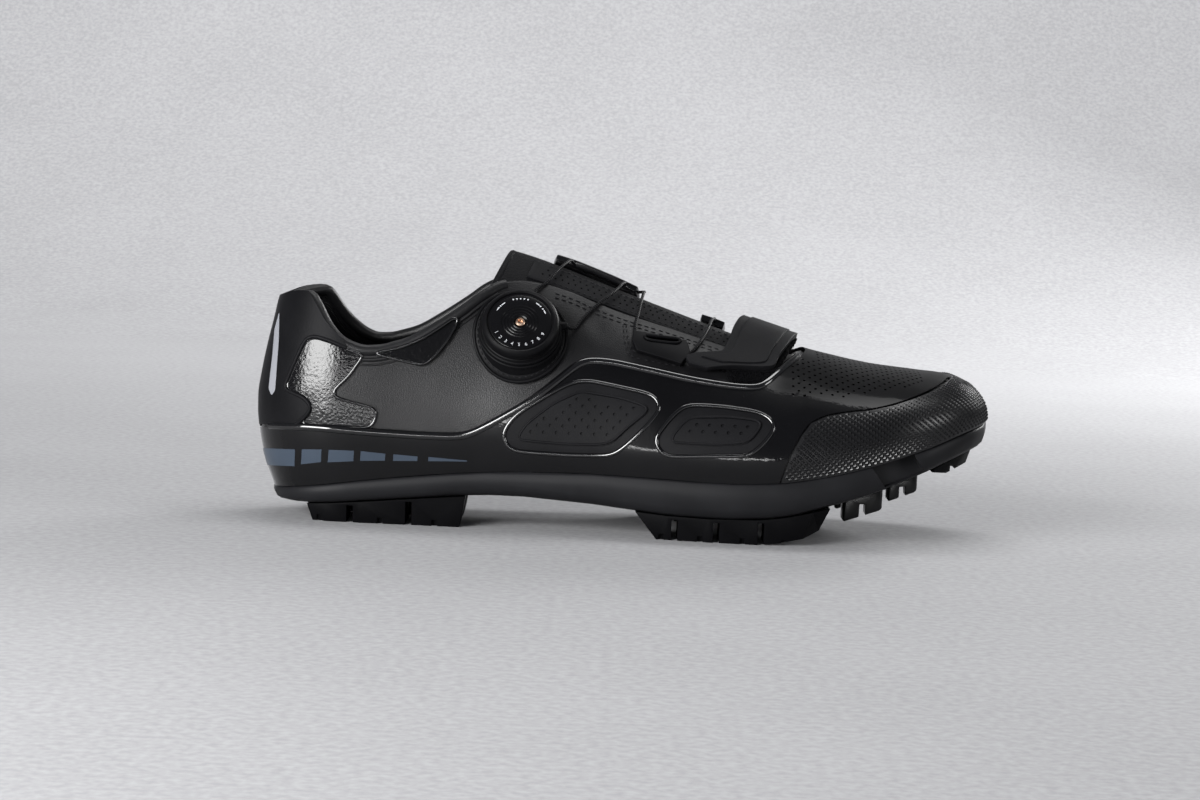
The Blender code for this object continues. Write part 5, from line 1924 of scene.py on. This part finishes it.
@dataclass
class Sole:
    """The moulded sole, its treads and studs, from their CAD solids."""

    def build(self) -> None:
        """Softens the CAD sole, treads and studs into finished copies."""
        self.soften("sole_moulding", "sole", BAND, 0.0004)
        for name in ("heel_tread", "fore_tread", "toe_tread"):
            for side in Side:
                node = f"{name}_{side.name.lower()}"
                self.soften(f"{node}_rubber", node, TREAD, 0.0005)
        for number in (1, 2):
            for side in Side:
                node = f"stud_{number}_{side.name.lower()}"
                self.soften(f"{node}_rubber", node, STUD, 0.0004)

    @staticmethod
    def soften(name: str, node: str, finish: Finish, width: float) -> None:
        """A copy of a CAD node with softened edges.

        Args:
            name: the copy's name.
            node: the CAD node.
            finish: the copy's finish.
            width: the width of its rounded edges.
        """
        mesh = bpy.data.objects[node].data.copy()
        mesh.materials.clear()
        obj = bpy.data.objects.new(name, mesh)
        mesh.name = name
        bpy.context.scene.collection.objects.link(obj)
        Bench.clean(obj, 1e-5)
        with Bench.editing(obj):
            bpy.ops.mesh.dissolve_limited(angle_limit=math.radians(2))
        Bench.bevel(obj, width, 2, 40)
        Bench.dress(Bench.smooth(obj, 40), finish, node)


# ---------------------------------------------------------------- tongue, strap, insole


@dataclass
class Softs:
    """Tongue, strap, hook patch and insole.

    Attributes:
        last: the last.
        tongue_reach: how far round from the crown the tongue goes.
        tongue_top: station of its rear end.
        tongue_sweep: how far the corners of that end lie further back.
        tongue_front: station of its front end.
        tongue_thickness: its thickness.
        strap_thickness: the strap's thickness.
        patch_thickness: the hook patch's thickness.
        seat: height of the patch's underside above the last.
        strap: rows of turn, rear edge, front edge and height.
        hook_patch: rows of turn, rear edge and front edge.
    """

    last: Last
    tongue_reach: float = 0.36
    tongue_top: float = 0.342
    tongue_sweep: float = 0.026
    tongue_front: float = 0.752
    tongue_thickness: float = 0.0030
    strap_thickness: float = 0.0022
    patch_thickness: float = 0.0010
    seat: float = 0.0007
    strap: tuple[tuple[float, float, float, float], ...] = (
        (-0.465, 0.582, 0.606, 0.0022), (-0.440, 0.577, 0.625, 0.0022),
        (-0.415, 0.588, 0.650, 0.0022), (-0.390, 0.606, 0.680, 0.0022),
        (-0.365, 0.624, 0.695, 0.0023), (-0.300, 0.632, 0.701, 0.0026),
        (-0.200, 0.638, 0.712, 0.0033), (-0.100, 0.645, 0.721, 0.0040),
        (0.000, 0.652, 0.728, 0.0042), (0.130, 0.656, 0.731, 0.0042),
        (0.260, 0.658, 0.732, 0.0034), (0.400, 0.658, 0.731, 0.0024),
        (0.520, 0.657, 0.729, 0.0020),
    )
    hook_patch: tuple[tuple[float, float, float], ...] = (
        (-0.475, 0.640, 0.664), (-0.440, 0.634, 0.682), (-0.400, 0.634, 0.692),
        (-0.340, 0.640, 0.702))

    def build(self) -> None:
        """Makes and dresses the soft pieces."""
        self._tongue()
        self._tongue_trim()
        self._strap()
        self._hooks()
        insole = bpy.data.objects["insole"]
        insole.data.materials.clear()
        insole.data.materials.append(LINING.material())

    def _tongue_at(self, across: float, back: float, lift: float) -> Vector:
        """A point of the tongue.

        Args:
            across: from -1 at its lateral edge to 1 at its medial one.
            back: 0 at its front end, 1 at its rear one.
            lift: height above the solid's top.

        Returns:
            The point.
        """
        rear = self.tongue_top - self.tongue_sweep * across ** 2
        along = self.tongue_front + (rear - self.tongue_front) * back
        above = -(self.last.wall + 2 * self.last.clearance)
        return self.last.over(along, self.tongue_reach * across, above + lift)

    def _tongue(self) -> None:
        """The padded tongue under the throat."""

        def place(u: float, v: float) -> Vector:
            """A point of the tongue's top."""
            across = 2 * u - 1
            swell = 0.0008 * (1 - across ** 4) * math.sin(math.pi * min(v * 0.9 + 0.1, 1)) ** 0.5
            return self._tongue_at(across, v, swell)

        tongue = Bench.slab("tongue_leather", (44, 100), place, self.tongue_thickness, False,
                            (0.0013, 3))
        Bench.dress(Bench.smooth(tongue), TONGUE, "tongue")

    def _tongue_trim(self) -> None:
        """The tongue's rolled edge, its seams and the band beside its middle, with dark discs of
        painted shade for its vent holes.
        """
        edge = [self._tongue_at(-0.98 + 1.96 * i / 40, 0.996, -self.tongue_thickness * 0.45)
                for i in range(41)]
        roll = Bench.tube("tongue_roll", spline_route(edge, 0.0012), 0.0017, sides=3)
        Bench.dress(roll, TONGUE)
        seams, dots = [], []
        for sign in (-1, 1):
            def place(u: float, v: float, sign: int = sign) -> Vector:
                """A point of the band's underside."""
                return self._tongue_at(sign * (0.33 + 0.40 * u), 0.14 + 0.78 * v, 0.0007)

            band = Bench.slab(f"tongue_band_{'medial' if sign > 0 else 'lateral'}", (8, 60),
                              place, 0.0007, True, (0.0003, 2))
            Bench.dress(Bench.smooth(band), STRAP)
            for across in (0.37, 0.69):
                seams.append([self._tongue_at(sign * across, 0.16 + 0.74 * i / 40, 0.00155)
                              for i in range(41)])
            for i in range(34):
                for across in (0.47, 0.58):
                    spot = self._tongue_at(sign * (across + 0.02 * (i % 2)),
                                           0.17 + 0.72 * (i + 0.5 * (across > 0.5)) / 34, 0.00135)
                    ahead = self._tongue_at(sign * across, 0.30, 0) - self._tongue_at(
                        sign * across, 0.31, 0)
                    up = Vector((0.25, sign * 0.45, 0.86)).normalized()
                    dots.append(Bench.frame_at(spot, up, ahead))
        Thread(length=0.0016, gap=0.0008, radius=0.00018).sew("tongue_stitches", seams, THREAD)
        # Thin near-black discs on the band stand for its vent holes: painted shade, not holes.
        Bench.clear()
        bpy.ops.mesh.primitive_cylinder_add(vertices=8, radius=0.00036, depth=0.0003)
        Bench.dress(Bench.scatter("tongue_pinholes", Bench.named("pinhole"), dots), HOLE_SHADE)

    def _strap_at(self, across: float, turn: float, lift: float) -> Vector:
        """A point of the strap.

        Args:
            across: 0 at its rear edge, 1 at its front one.
            turn: how far round from the crown.
            lift: height above its underside.

        Returns:
            The point.
        """
        turns = [row[0] for row in self.strap]
        rear, front, above = (curve_through(turns, [row[i] for row in self.strap])
                              for i in (1, 2, 3))
        along = rear(turn) + (front(turn) - rear(turn)) * across
        return self.last.over(along, turn, above(turn) + lift)

    def _strap(self) -> None:
        """The hook-and-loop strap over the throat, with its embossed border."""
        low, high = self.strap[0][0], self.strap[-1][0]

        def place(u: float, v: float) -> Vector:
            """A point of the strap's underside."""
            return self._strap_at(u, low + (high - low) * v, 0.0)

        strap = Bench.slab("strap_leather", (24, 110), place, self.strap_thickness, True,
                           (0.0007, 3))
        Bench.dress(Bench.smooth(strap), STRAP, "strap")

        def raised(u: float, v: float) -> Vector:
            """A point of the raised middle field."""
            turn = -0.425 + 0.90 * v
            inset = 0.16 + 0.10 * max(0.0, (-0.36 - turn) / 0.065)
            return self._strap_at(inset + (1 - 2 * inset) * u, turn, self.strap_thickness - 0.0002)

        field_panel = Bench.slab("strap_field", (16, 90), raised, 0.0007, True, (0.0004, 2))
        Bench.dress(Bench.smooth(field_panel), STRAP)

    def _hooks(self) -> None:
        """The pile patch under the strap's end and the pile behind its front edge."""
        turns = [row[0] for row in self.hook_patch]
        rear, front = (curve_through(turns, [row[i] for row in self.hook_patch]) for i in (1, 2))
        pick = random.Random(7)

        def place(u: float, v: float) -> Vector:
            """A point of the pile's underside."""
            turn = turns[0] + (turns[-1] - turns[0]) * v
            along = rear(turn) + (front(turn) - rear(turn)) * u
            return self.last.over(along, turn, self.seat)

        def under(u: float, v: float) -> Vector:
            """A point of the pile behind the strap's front edge."""
            return self._strap_at(0.62 + (0.46 - 0.14 * v ** 2) * u, -0.43 + 0.62 * v, -0.0016)

        for name, spread, thickness, size, node in (
                ("hook_pile", place, self.patch_thickness, (60, 40), "hook_patch"),
                ("strap_pile", under, 0.0014, (30, 110), ())):
            patch = Bench.sheet(name, *size, spread)
            Bench.face_up(patch, lambda spot: Vector((0, -1, 0.5)))
            Bench.wall(patch, thickness, True)
            rough = [vert.normal * pick.uniform(-0.0001, 0.0005) for vert in patch.data.vertices]
            for vert, push in zip(patch.data.vertices, rough):
                vert.co += push
            Bench.dress(Bench.smooth(patch), PILE, node)


# ---------------------------------------------------------------- dial, guides, lace


@dataclass
class Lacing:
    """The dial, the lace guides and the lace.

    Attributes:
        last: the last.
        along: the dial's station.
        rows: its share of the rows.
        lean: how far its axis leans up.
        seat: height of the knob's underside along the axis.
        knob_radius: the knob's radius.
        knob_height: its height.
        disc_drop: how far the disc lies below the knob's top.
        mark_reach: distance of the marks from the axis.
        housing_radius: the housing's radius.
        flange_radius: the flange's radius.
        screw_radius: the screw head's radius.
        lace_radius: the lace's radius.
        hold: how far the lace reaches into the housing.
        nub_out: how far the lace exits stand out of the housing.
        exit_height: height along the axis where the lace leaves.
        guide_seat: height of a guide's underside above the last.
        guide_thickness: a guide's thickness.
        rear_run: the rear lace, as station, turn and height.
        front_run: the front lace.
        side_guide: the lateral guide, as rows of station and turn.
        rear_guide: the medial rear guide.
        front_guide: the medial front guide.
    """

    last: Last
    along: float = 0.357
    rows: float = 0.490
    lean: float = math.radians(35)
    seat: float = 0.0062
    knob_radius: float = 0.0147
    knob_height: float = 0.0052
    disc_drop: float = 0.0006
    mark_reach: float = 0.0101
    housing_radius: float = 0.0151
    flange_radius: float = 0.0172
    screw_radius: float = 0.0020
    lace_radius: float = 0.0006
    hold: float = 0.0040
    nub_out: float = 0.0008
    exit_height: float = 0.0038
    guide_seat: float = 0.0007
    guide_thickness: float = 0.0026
    rear_run: tuple[tuple[float, float, float], ...] = (
        (0.374, -0.335, 0.0016), (0.386, -0.290, 0.0012), (0.400, -0.200, 0.0012),
        (0.411, -0.100, 0.0012), (0.417, 0.020, 0.0014), (0.421, 0.100, 0.0019),
        (0.432, 0.155, 0.0019), (0.458, 0.180, 0.0019), (0.488, 0.178, 0.0019),
        (0.508, 0.150, 0.0019), (0.520, 0.080, 0.0015), (0.519, -0.060, 0.0012),
        (0.515, -0.200, 0.0012), (0.512, -0.280, 0.0012), (0.509, -0.350, 0.0014),
        (0.510, -0.400, 0.0018), (0.516, -0.438, 0.0018), (0.540, -0.444, 0.0018),
        (0.566, -0.442, 0.0018), (0.580, -0.410, 0.0014), (0.594, -0.340, 0.0012),
        (0.606, -0.230, 0.0012), (0.614, -0.080, 0.0013), (0.618, 0.080, 0.0015),
        (0.618, 0.180, 0.0019), (0.616, 0.245, 0.0019),
    )
    front_run: tuple[tuple[float, float, float], ...] = (
        (0.426, -0.445, 0.0018), (0.440, -0.385, 0.0012), (0.456, -0.310, 0.0012),
        (0.470, -0.240, 0.0012), (0.483, -0.150, 0.0012), (0.490, -0.050, 0.0013),
        (0.492, 0.050, 0.0016), (0.492, 0.120, 0.0019),
    )
    side_guide: tuple[tuple[Place, ...], ...] = (
        ((0.506, -0.385), (0.540, -0.370), (0.578, -0.355)),
        ((0.505, -0.420), (0.540, -0.415), (0.583, -0.405)),
        ((0.512, -0.462), (0.540, -0.465), (0.572, -0.468)))
    rear_guide: tuple[tuple[Place, ...], ...] = (
        ((0.397, 0.100), (0.430, 0.090), (0.474, 0.095), (0.510, 0.108)),
        ((0.392, 0.210), (0.430, 0.210), (0.474, 0.210), (0.514, 0.215)),
        ((0.397, 0.330), (0.430, 0.335), (0.474, 0.335), (0.510, 0.330)))
    front_guide: tuple[tuple[Place, ...], ...] = (
        ((0.600, 0.160), (0.616, 0.155), (0.632, 0.160)),
        ((0.598, 0.250), (0.616, 0.250), (0.634, 0.250)),
        ((0.602, 0.345), (0.616, 0.350), (0.630, 0.345)))

    def axes(self) -> Matrix:
        """The dial's frame: its Z is the turning axis, its Y points up the disc."""
        centre = self.last.row(self.last.point(Side.LATERAL, self.along, self.rows))
        out = Vector((0, -math.cos(self.lean), math.sin(self.lean)))
        ahead = Vector((1, 0, 0))
        up = out.cross(ahead)
        return Matrix.Translation(centre) @ Matrix((ahead, up, out)).transposed().to_4x4()

    def build(self) -> None:
        """Makes and dresses dial, guides and lace."""
        Sole.soften("dial_housing", "dial_base", PLASTIC, 0.0003)
        self._knob()
        self._marks()
        self._flange_stitches()
        self._guides()
        self._laces()

    def _turned(self, name: str, profile: Sequence[Place], finish: Finish,
                node: str | Sequence[str] = (), steps: int = 96) -> bpy.types.Object:
        """A piece turned about the dial's axis.

        Args:
            name: the piece's name.
            profile: (radius, height) steps, from the top down the outer side.
            finish: its finish.
            node: the CAD nodes that it stands for.
            steps: steps of the turn.

        Returns:
            The piece.
        """
        made = Bench.lathe(name, profile, steps, self.axes())
        return Bench.dress(Bench.smooth(made, 30), finish, node)

    def _knob(self) -> None:
        """The turning knob, its gloss disc, the housing's rings and the screw."""
        low = self.seat + self.last.clearance
        high = low + self.knob_height
        edge, disc = self.knob_radius, self.knob_radius * 0.85
        self._turned("dial_grip", (
            (disc - 0.0030, high - 0.0010), (disc, high - 0.0010), (disc + 0.0002, high - 0.0002),
            (disc + 0.0007, high), (edge - 0.0008, high - 0.0005), (edge - 0.0002, high - 0.0012),
            (edge, high - 0.0022), (edge, low + 0.0012), (edge - 0.0003, low + 0.0010),
            (edge - 0.0003, low + 0.0007), (edge, low + 0.0005), (edge - 0.0004, low),
            (disc - 0.0030, low)), PLASTIC, "dial_knob")
        top = high - self.disc_drop
        hole = self.screw_radius
        rings = [(hole, top - 0.0010), (hole + 0.0003, top - 0.0003)]
        for radius in (0.0034, 0.0046, 0.0058, 0.0070):
            rings += [(radius - 0.0006, top), (radius - 0.0003, top - 0.00022),
                      (radius, top - 0.00022), (radius + 0.0002, top)]
        rings += [(0.0080, top), (disc - 0.0010, top), (disc - 0.0006, top - 0.0002),
                  (disc - 0.0004, low + 0.0004), (hole, low + 0.0004)]
        self._turned("dial_disc", rings, CAP_DISC)
        self._turned("dial_screw_brass", (
            (0.0, top - 0.0008), (0.0008, top - 0.0008), (0.0010, top + 0.0002),
            (hole * 0.75, top + 0.0003), (hole - 0.0002, top), (hole - 0.0002, low + 0.0002),
            (0.0, low + 0.0002)), BRASS, "dial_screw", 24)
        for name, radius, height, thick in (("housing_ring_top", 0.01495, 0.0052, 0.00055),
                                            ("housing_ring_low", 0.01545, 0.0034, 0.00050)):
            ring = [(radius + thick * math.cos(a), height + thick * math.sin(a))
                    for a in (math.radians(90 - 45 * i) for i in range(8))]
            self._turned(name, ring + ring[:1], PLASTIC)

    def _on_disc(self, angle: float, height: float) -> Matrix:
        """The frame of a mark on the disc, turned to face the rim."""
        return (self.axes() @ Matrix.Translation(polar(self.mark_reach, angle, height))
                @ Matrix.Rotation(angle + math.pi / 2, 4, "Z"))

    def _exit_angle(self, run: Sequence[tuple[float, float, float]]) -> float:
        """The angle round the dial at which a run of the lace leaves it."""
        arm = self.axes().inverted() @ self.last.over(*run[0])
        return math.atan2(arm.y, arm.x)

    def _marks(self) -> None:
        """Plain numbers, ticks and dots on the disc."""
        top = self.seat + self.last.clearance + self.knob_height - self.disc_drop
        marks = []
        for number, degrees in enumerate(range(210, 331, 15), start=1):
            angle = math.radians(degrees)
            Bench.clear()
            bpy.ops.object.text_add()
            words = bpy.context.object
            words.data.body = str(number)
            words.data.size = 0.0019
            words.data.align_x = "CENTER"
            words.data.align_y = "CENTER"
            words.data.extrude = 0.00004
            bpy.ops.object.convert(target="MESH")
            mark = Bench.named("number")
            mark.matrix_world = Matrix.Identity(4)
            mark.data.transform(self._on_disc(angle, top + 0.00005))
            marks.append(mark)
        for degrees in (28, 36, 44, 52, 76, 84, 92, 100, 108, 132, 140, 148):
            angle = math.radians(degrees)
            long = degrees in (28, 52, 132, 148)
            Bench.clear()
            bpy.ops.mesh.primitive_cylinder_add(vertices=12, radius=0.00030, depth=0.00010)
            mark = Bench.named("tick")
            mark.data.transform(Matrix.Diagonal((3.2 if long else 1.0, 0.7 if long else 1.0,
                                                 1, 1)))
            mark.data.transform(self._on_disc(angle, top + 0.00003))
            marks.append(mark)
        Bench.dress(Bench.join("dial_numbers", marks), PRINT_WHITE)

    def _under_dial(self, radius: float, angle: float, lift: float) -> Vector:
        """A point of the last under the dial.

        Args:
            radius: distance from the dial's axis.
            angle: the direction, from ahead towards up the disc.
            lift: height above the last, along the axis.

        Returns:
            The point.
        """
        frame = self.axes()
        out = frame.to_3x3() @ Vector((0, 0, 1))
        goal = frame @ polar(radius, angle, 0)
        back = frame.inverted()
        flat = back @ goal
        along, rows = self.along, self.rows
        for _ in range(10):
            here = back @ self.last.row(self.last.point(Side.LATERAL, along, rows)) - flat
            step = 1e-4
            da = (back @ self.last.row(self.last.point(Side.LATERAL, along + step, rows)) - flat
                  - here) / step
            dr = (back @ self.last.row(self.last.point(Side.LATERAL, along, rows + step)) - flat
                  - here) / step
            det = da.x * dr.y - dr.x * da.y
            along -= (dr.y * here.x - dr.x * here.y) / det
            rows -= (da.x * here.y - da.y * here.x) / det
            rows = min(max(rows, 0.05), 0.98)
        return self.last.row(self.last.point(Side.LATERAL, along, rows)) + out * lift

    def _flange_stitches(self) -> None:
        """The stitches round the flange and the two nubs where the lace leaves."""
        lift = self.guide_seat + 0.0019
        ring = [self._under_dial(self.flange_radius - 0.0009, math.radians(5 * i), lift)
                for i in range(73)]
        welt = [self._under_dial(self.flange_radius + 0.0002, math.radians(5 * i), lift - 0.0010)
                for i in range(72)]
        Thread(length=0.0015, gap=0.0008, radius=0.00026).sew("flange_stitches", [ring], THREAD)
        Bench.dress(Bench.tube("flange_welt", spline_route(welt, 0.0012, True), 0.00075, True),
                    PLASTIC)
        frame = self.axes()
        nubs = []
        for run in (self.rear_run, self.front_run):
            angle = self._exit_angle(run)
            Bench.clear()
            bpy.ops.mesh.primitive_cone_add(vertices=24, radius1=0.0022, radius2=0.0013,
                                            depth=0.0042)
            nub = Bench.named("nub")
            turn = Matrix.Rotation(angle, 4, "Z") @ Matrix.Rotation(math.pi / 2, 4, "Y")
            shift = Matrix.Translation(polar(self.housing_radius + self.nub_out, angle,
                                             self.exit_height))
            nub.data.transform(frame @ shift @ turn)
            nubs.append(nub)
        joined = Bench.join("lace_exits", nubs)
        Bench.bevel(joined, 0.0004, 2)
        Bench.dress(Bench.smooth(joined, 40), PLASTIC)

    def _plate(self, name: str, table: Sequence[Sequence[Place]], finish: Finish, node: str,
               crown: float, edge: float) -> bpy.types.Object:
        """A guide plate on the last, from a table of places.

        Args:
            name: the plate's name.
            table: rows of (along, turn) places.
            finish: its finish.
            node: the CAD node that it stands for.
            crown: how far its middle swells.
            edge: the rounding of its edges.

        Returns:
            The plate.
        """
        columns = range(len(table[0]))
        steps = [i / (len(table) - 1) for i in range(len(table))]
        ways = [[curve_through(steps, [row[i][axis] for row in table]) for axis in (0, 1)]
                for i in columns]
        spots = [i / (len(table[0]) - 1) for i in columns]

        def place(u: float, v: float) -> Vector:
            """A point of the plate's top."""
            along, turn = (curve_through(spots, [way[axis](v) for way in ways])(u)
                           for axis in (0, 1))
            swell = crown * (1 - abs(2 * u - 1) ** 2.4) * (1 - abs(2 * v - 1) ** 2.4)
            return self.last.over(along, turn, self.guide_seat + self.guide_thickness + swell)

        plate = Bench.sheet(name, 28, 20, place)
        Bench.face_up(plate, lambda spot: Vector((0, spot.y, 0.02)))
        Bench.wall(plate, self.guide_thickness, False)
        Bench.bevel(plate, edge, 4)
        return Bench.dress(Bench.smooth(plate), finish, node)

    def _guides(self) -> None:
        """The lace guides, with the slot and the seams of the lateral one."""
        side = self._plate("guide_lateral_loop", self.side_guide, PLASTIC, "guide_lateral",
                           0.0003, 0.0007)
        shell = Shell(self.last)
        slot = rounded_outline(((0.5187, 0.2690), (0.5732, 0.2651), (0.5673, 0.2585),
                                (0.5250, 0.2620)), 0.004, 3)
        cutter = shell.prism("slot", slot, Side.LATERAL, self.last.pattern_side)
        # The slot's walls take the cutter's near-black finish: painted shade in the slot.
        cutter.data.materials.append(HOLE_SHADE.material())
        Bench.boolean(side, cutter, "DIFFERENCE")
        Bench.smooth(side, 30)
        rim = shell.roll("guide_slot_rim", slot, Side.LATERAL,
                         self.guide_seat + self.guide_thickness, 0.0005)
        Bench.dress(rim, PLASTIC)
        # A near-black sheet at the bottom of the slot: painted shade where the slot shows the
        # upper.
        Bench.clear()
        bpy.ops.mesh.primitive_circle_add(vertices=len(slot), fill_type="NGON")
        floor = Bench.named("guide_slot_floor")
        for vert, (along, up) in zip(floor.data.vertices, slot):
            vert.co = self.last.under_pattern(Side.LATERAL, along, up, self.guide_seat + 0.0003)[0]
        Bench.face_up(floor, lambda spot: Vector((0, -1, 0.5)))
        Bench.dress(Bench.wall(floor, 0.0003, True), HOLE_SHADE)
        self._plate("guide_medial_rear_loop", self.rear_guide, VAMP, "guide_medial_rear",
                    0.0022, 0.0015)
        self._plate("guide_medial_front_loop", self.front_guide, VAMP, "guide_medial_front",
                    0.0006, 0.0009)
        seams = []
        for out in (0.0, 0.007):
            places = [(0.497 - out * 0.6, 0.283), (0.500 - out * 0.6, 0.262),
                      (0.506 - out * 0.4, 0.249 - out), (0.530, 0.242 - out),
                      (0.560, 0.2375 - out), (0.590, 0.2345 - out)]
            seams.append([self.last.under_pattern(Side.LATERAL, along, up, 0.00035)[0]
                          + Vector((0, 0, 0.0003)) for along, up in places])
        Thread(length=0.0017).sew("guide_stitches", seams, THREAD)

    def _laces(self) -> None:
        """Both runs of the lace, through guides and dial."""
        frame = self.axes()
        for name, node, places in (("lace_rear_cord", "lace_rear", self.rear_run),
                                   ("lace_front_cord", "lace_front", self.front_run)):
            route = [self.last.over(*place) for place in places]
            angle = self._exit_angle(places)
            start = [frame @ polar(self.housing_radius + out, angle, self.exit_height)
                     for out in (-self.hold, -self.hold / 3, self.hold / 3)]
            cord = Bench.tube(name, spline_route(start + route, 0.0010), self.lace_radius,
                              sides=3)
            Bench.dress(cord, LACE, node)


# ---------------------------------------------------------------- studio


@dataclass
class Studio:
    """Camera, floor and lights.

    Attributes:
        distance: camera distance from its target.
        elevation: camera elevation in degrees.
        roll: camera roll in degrees, clockwise in the picture.
        focal: focal length in pixels of a 1200-pixel-wide picture.
        target: the point in the middle of the picture, in the heel's frame.
    """

    distance: float = 1.140
    elevation: float = 5.0
    roll: float = 2.37
    focal: float = 2934.36
    target: tuple[float, float, float] = (0.13247, 0.0, 0.0485)

    def build(self, last: Last) -> None:
        """Sets the camera, the floor and the lights.

        Args:
            last: the last, for its origin.
        """
        bpy.context.scene.view_settings.view_transform = "Standard"
        self._camera(last)
        self._floor()
        self._lights()

    def _camera(self, last: Last) -> None:
        """The camera at the photograph's angle."""
        e, r = math.radians(self.elevation), math.radians(self.roll)
        back = Vector((0, -math.cos(e), math.sin(e)))
        right = (-back).cross(Vector((0, 0, 1))).normalized()
        up = right.cross(-back)
        turned_right = right * math.cos(r) + up * math.sin(r)
        turned_up = up * math.cos(r) - right * math.sin(r)
        data = bpy.data.cameras.new("camera")
        data.sensor_width = 36.0
        data.lens = self.focal * 36.0 / 1200
        data.clip_end = 20.0
        camera = bpy.data.objects.new("camera", data)
        bpy.context.scene.collection.objects.link(camera)
        turn = Matrix((turned_right, turned_up, back)).transposed().to_4x4()
        middle = last.row(Vector(self.target))
        camera.matrix_world = Matrix.Translation(middle + back * self.distance) @ turn
        bpy.context.scene.camera = camera

    def _floor(self) -> None:
        """A pale floor that curves up into a backdrop."""
        profile = [(-2.4, 0.0), (0.9, 0.0)]
        profile += [(0.9 + 0.8 * math.sin(math.radians(a)), 0.8 - 0.8 * math.cos(math.radians(a)))
                    for a in range(9, 91, 9)]
        profile += [(1.7, 3.2)]

        def place(u: float, v: float) -> Vector:
            """A point of the sweep."""
            y, z = profile[round(v * (len(profile) - 1))]
            return Vector(((u - 0.5) * 7.0, y, z))

        sweep = Bench.sheet("floor_sweep", 2, len(profile) - 1, place)
        Bench.face_up(sweep, lambda spot: Vector((0, -1, 1)))
        sweep.data.materials.append(self._concrete())
        Bench.smooth(sweep, 60)

    def _concrete(self) -> bpy.types.Material:
        """The floor's pale, slightly mottled finish.

        Returns:
            The material.
        """
        made = bpy.data.materials.new("pale_floor")
        made.use_nodes = True
        tree = made.node_tree
        shader = tree.nodes["Principled BSDF"]
        shader.inputs["Roughness"].default_value = 0.85
        spots = tree.nodes.new("ShaderNodeTexCoord")
        both = tree.nodes.new("ShaderNodeMix")
        both.inputs["Factor"].default_value = 0.8
        for scale, detail, socket in ((9.0, 6.0, 2), (330.0, 3.0, 3)):
            noise = noise_node(tree, spots, scale, detail)
            tree.links.new(noise.outputs["Fac"], both.inputs[socket])
        blend_colours(tree, both.outputs[0], shader,
                      ((0.292, 0.292, 0.300), (0.362, 0.362, 0.372)))
        return made

    def _lights(self) -> None:
        """Soft boxes above, beside and in front."""
        world = bpy.data.worlds.new("world")
        bpy.context.scene.world = world
        world.use_nodes = True
        world.node_tree.nodes["Background"].inputs["Color"].default_value = (0.62, 0.64, 0.70, 1)
        world.node_tree.nodes["Background"].inputs["Strength"].default_value = 0.18
        for name, spot, aim, size, power in (
                ("left_box", (-0.71, -0.84, 0.31), (-0.11, -0.02, 0.055), (0.70, 0.50), 23.5),
                ("top_box", (0.12, 0.18, 1.10), (0.05, 0.0, 0.03), (1.0, 0.36), 6.8),
                ("right_box", (0.95, -0.35, 0.35), (0.07, 0.0, 0.03), (0.35, 0.35), 3.0),
                ("low_strip", (-0.35, -1.30, 0.06), (-0.02, -0.04, 0.034), (1.1, 0.05), 3.5),
                ("medial_box", (0.75, 0.95, 0.50), (0.0, 0.0, 0.05), (0.45, 0.35), 9.0),
                ("back_wash", (0.0, 0.75, 1.0), (0.0, 1.7, 0.25), (2.6, 0.5), 23.0)):
            data = bpy.data.lights.new(name, "AREA")
            data.shape = "RECTANGLE"
            data.size, data.size_y = size
            data.energy = power
            lamp = bpy.data.objects.new(name, data)
            bpy.context.scene.collection.objects.link(lamp)
            lamp.location = spot
            lamp.rotation_euler = (Vector(aim) - Vector(spot)).to_track_quat("-Z", "Y").to_euler()


def main() -> None:
    """Builds the whole scene in order."""
    logging.basicConfig(level=logging.INFO, format="%(message)s")
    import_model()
    last = Last()
    Studio().build(last)
    shell = Shell(last)
    Upper(shell).build()
    Panels(shell).build()
    Sole().build()
    Softs(last).build()
    Lacing(last).build()
    Bench.clear()


if __name__ == "__main__":
    main()
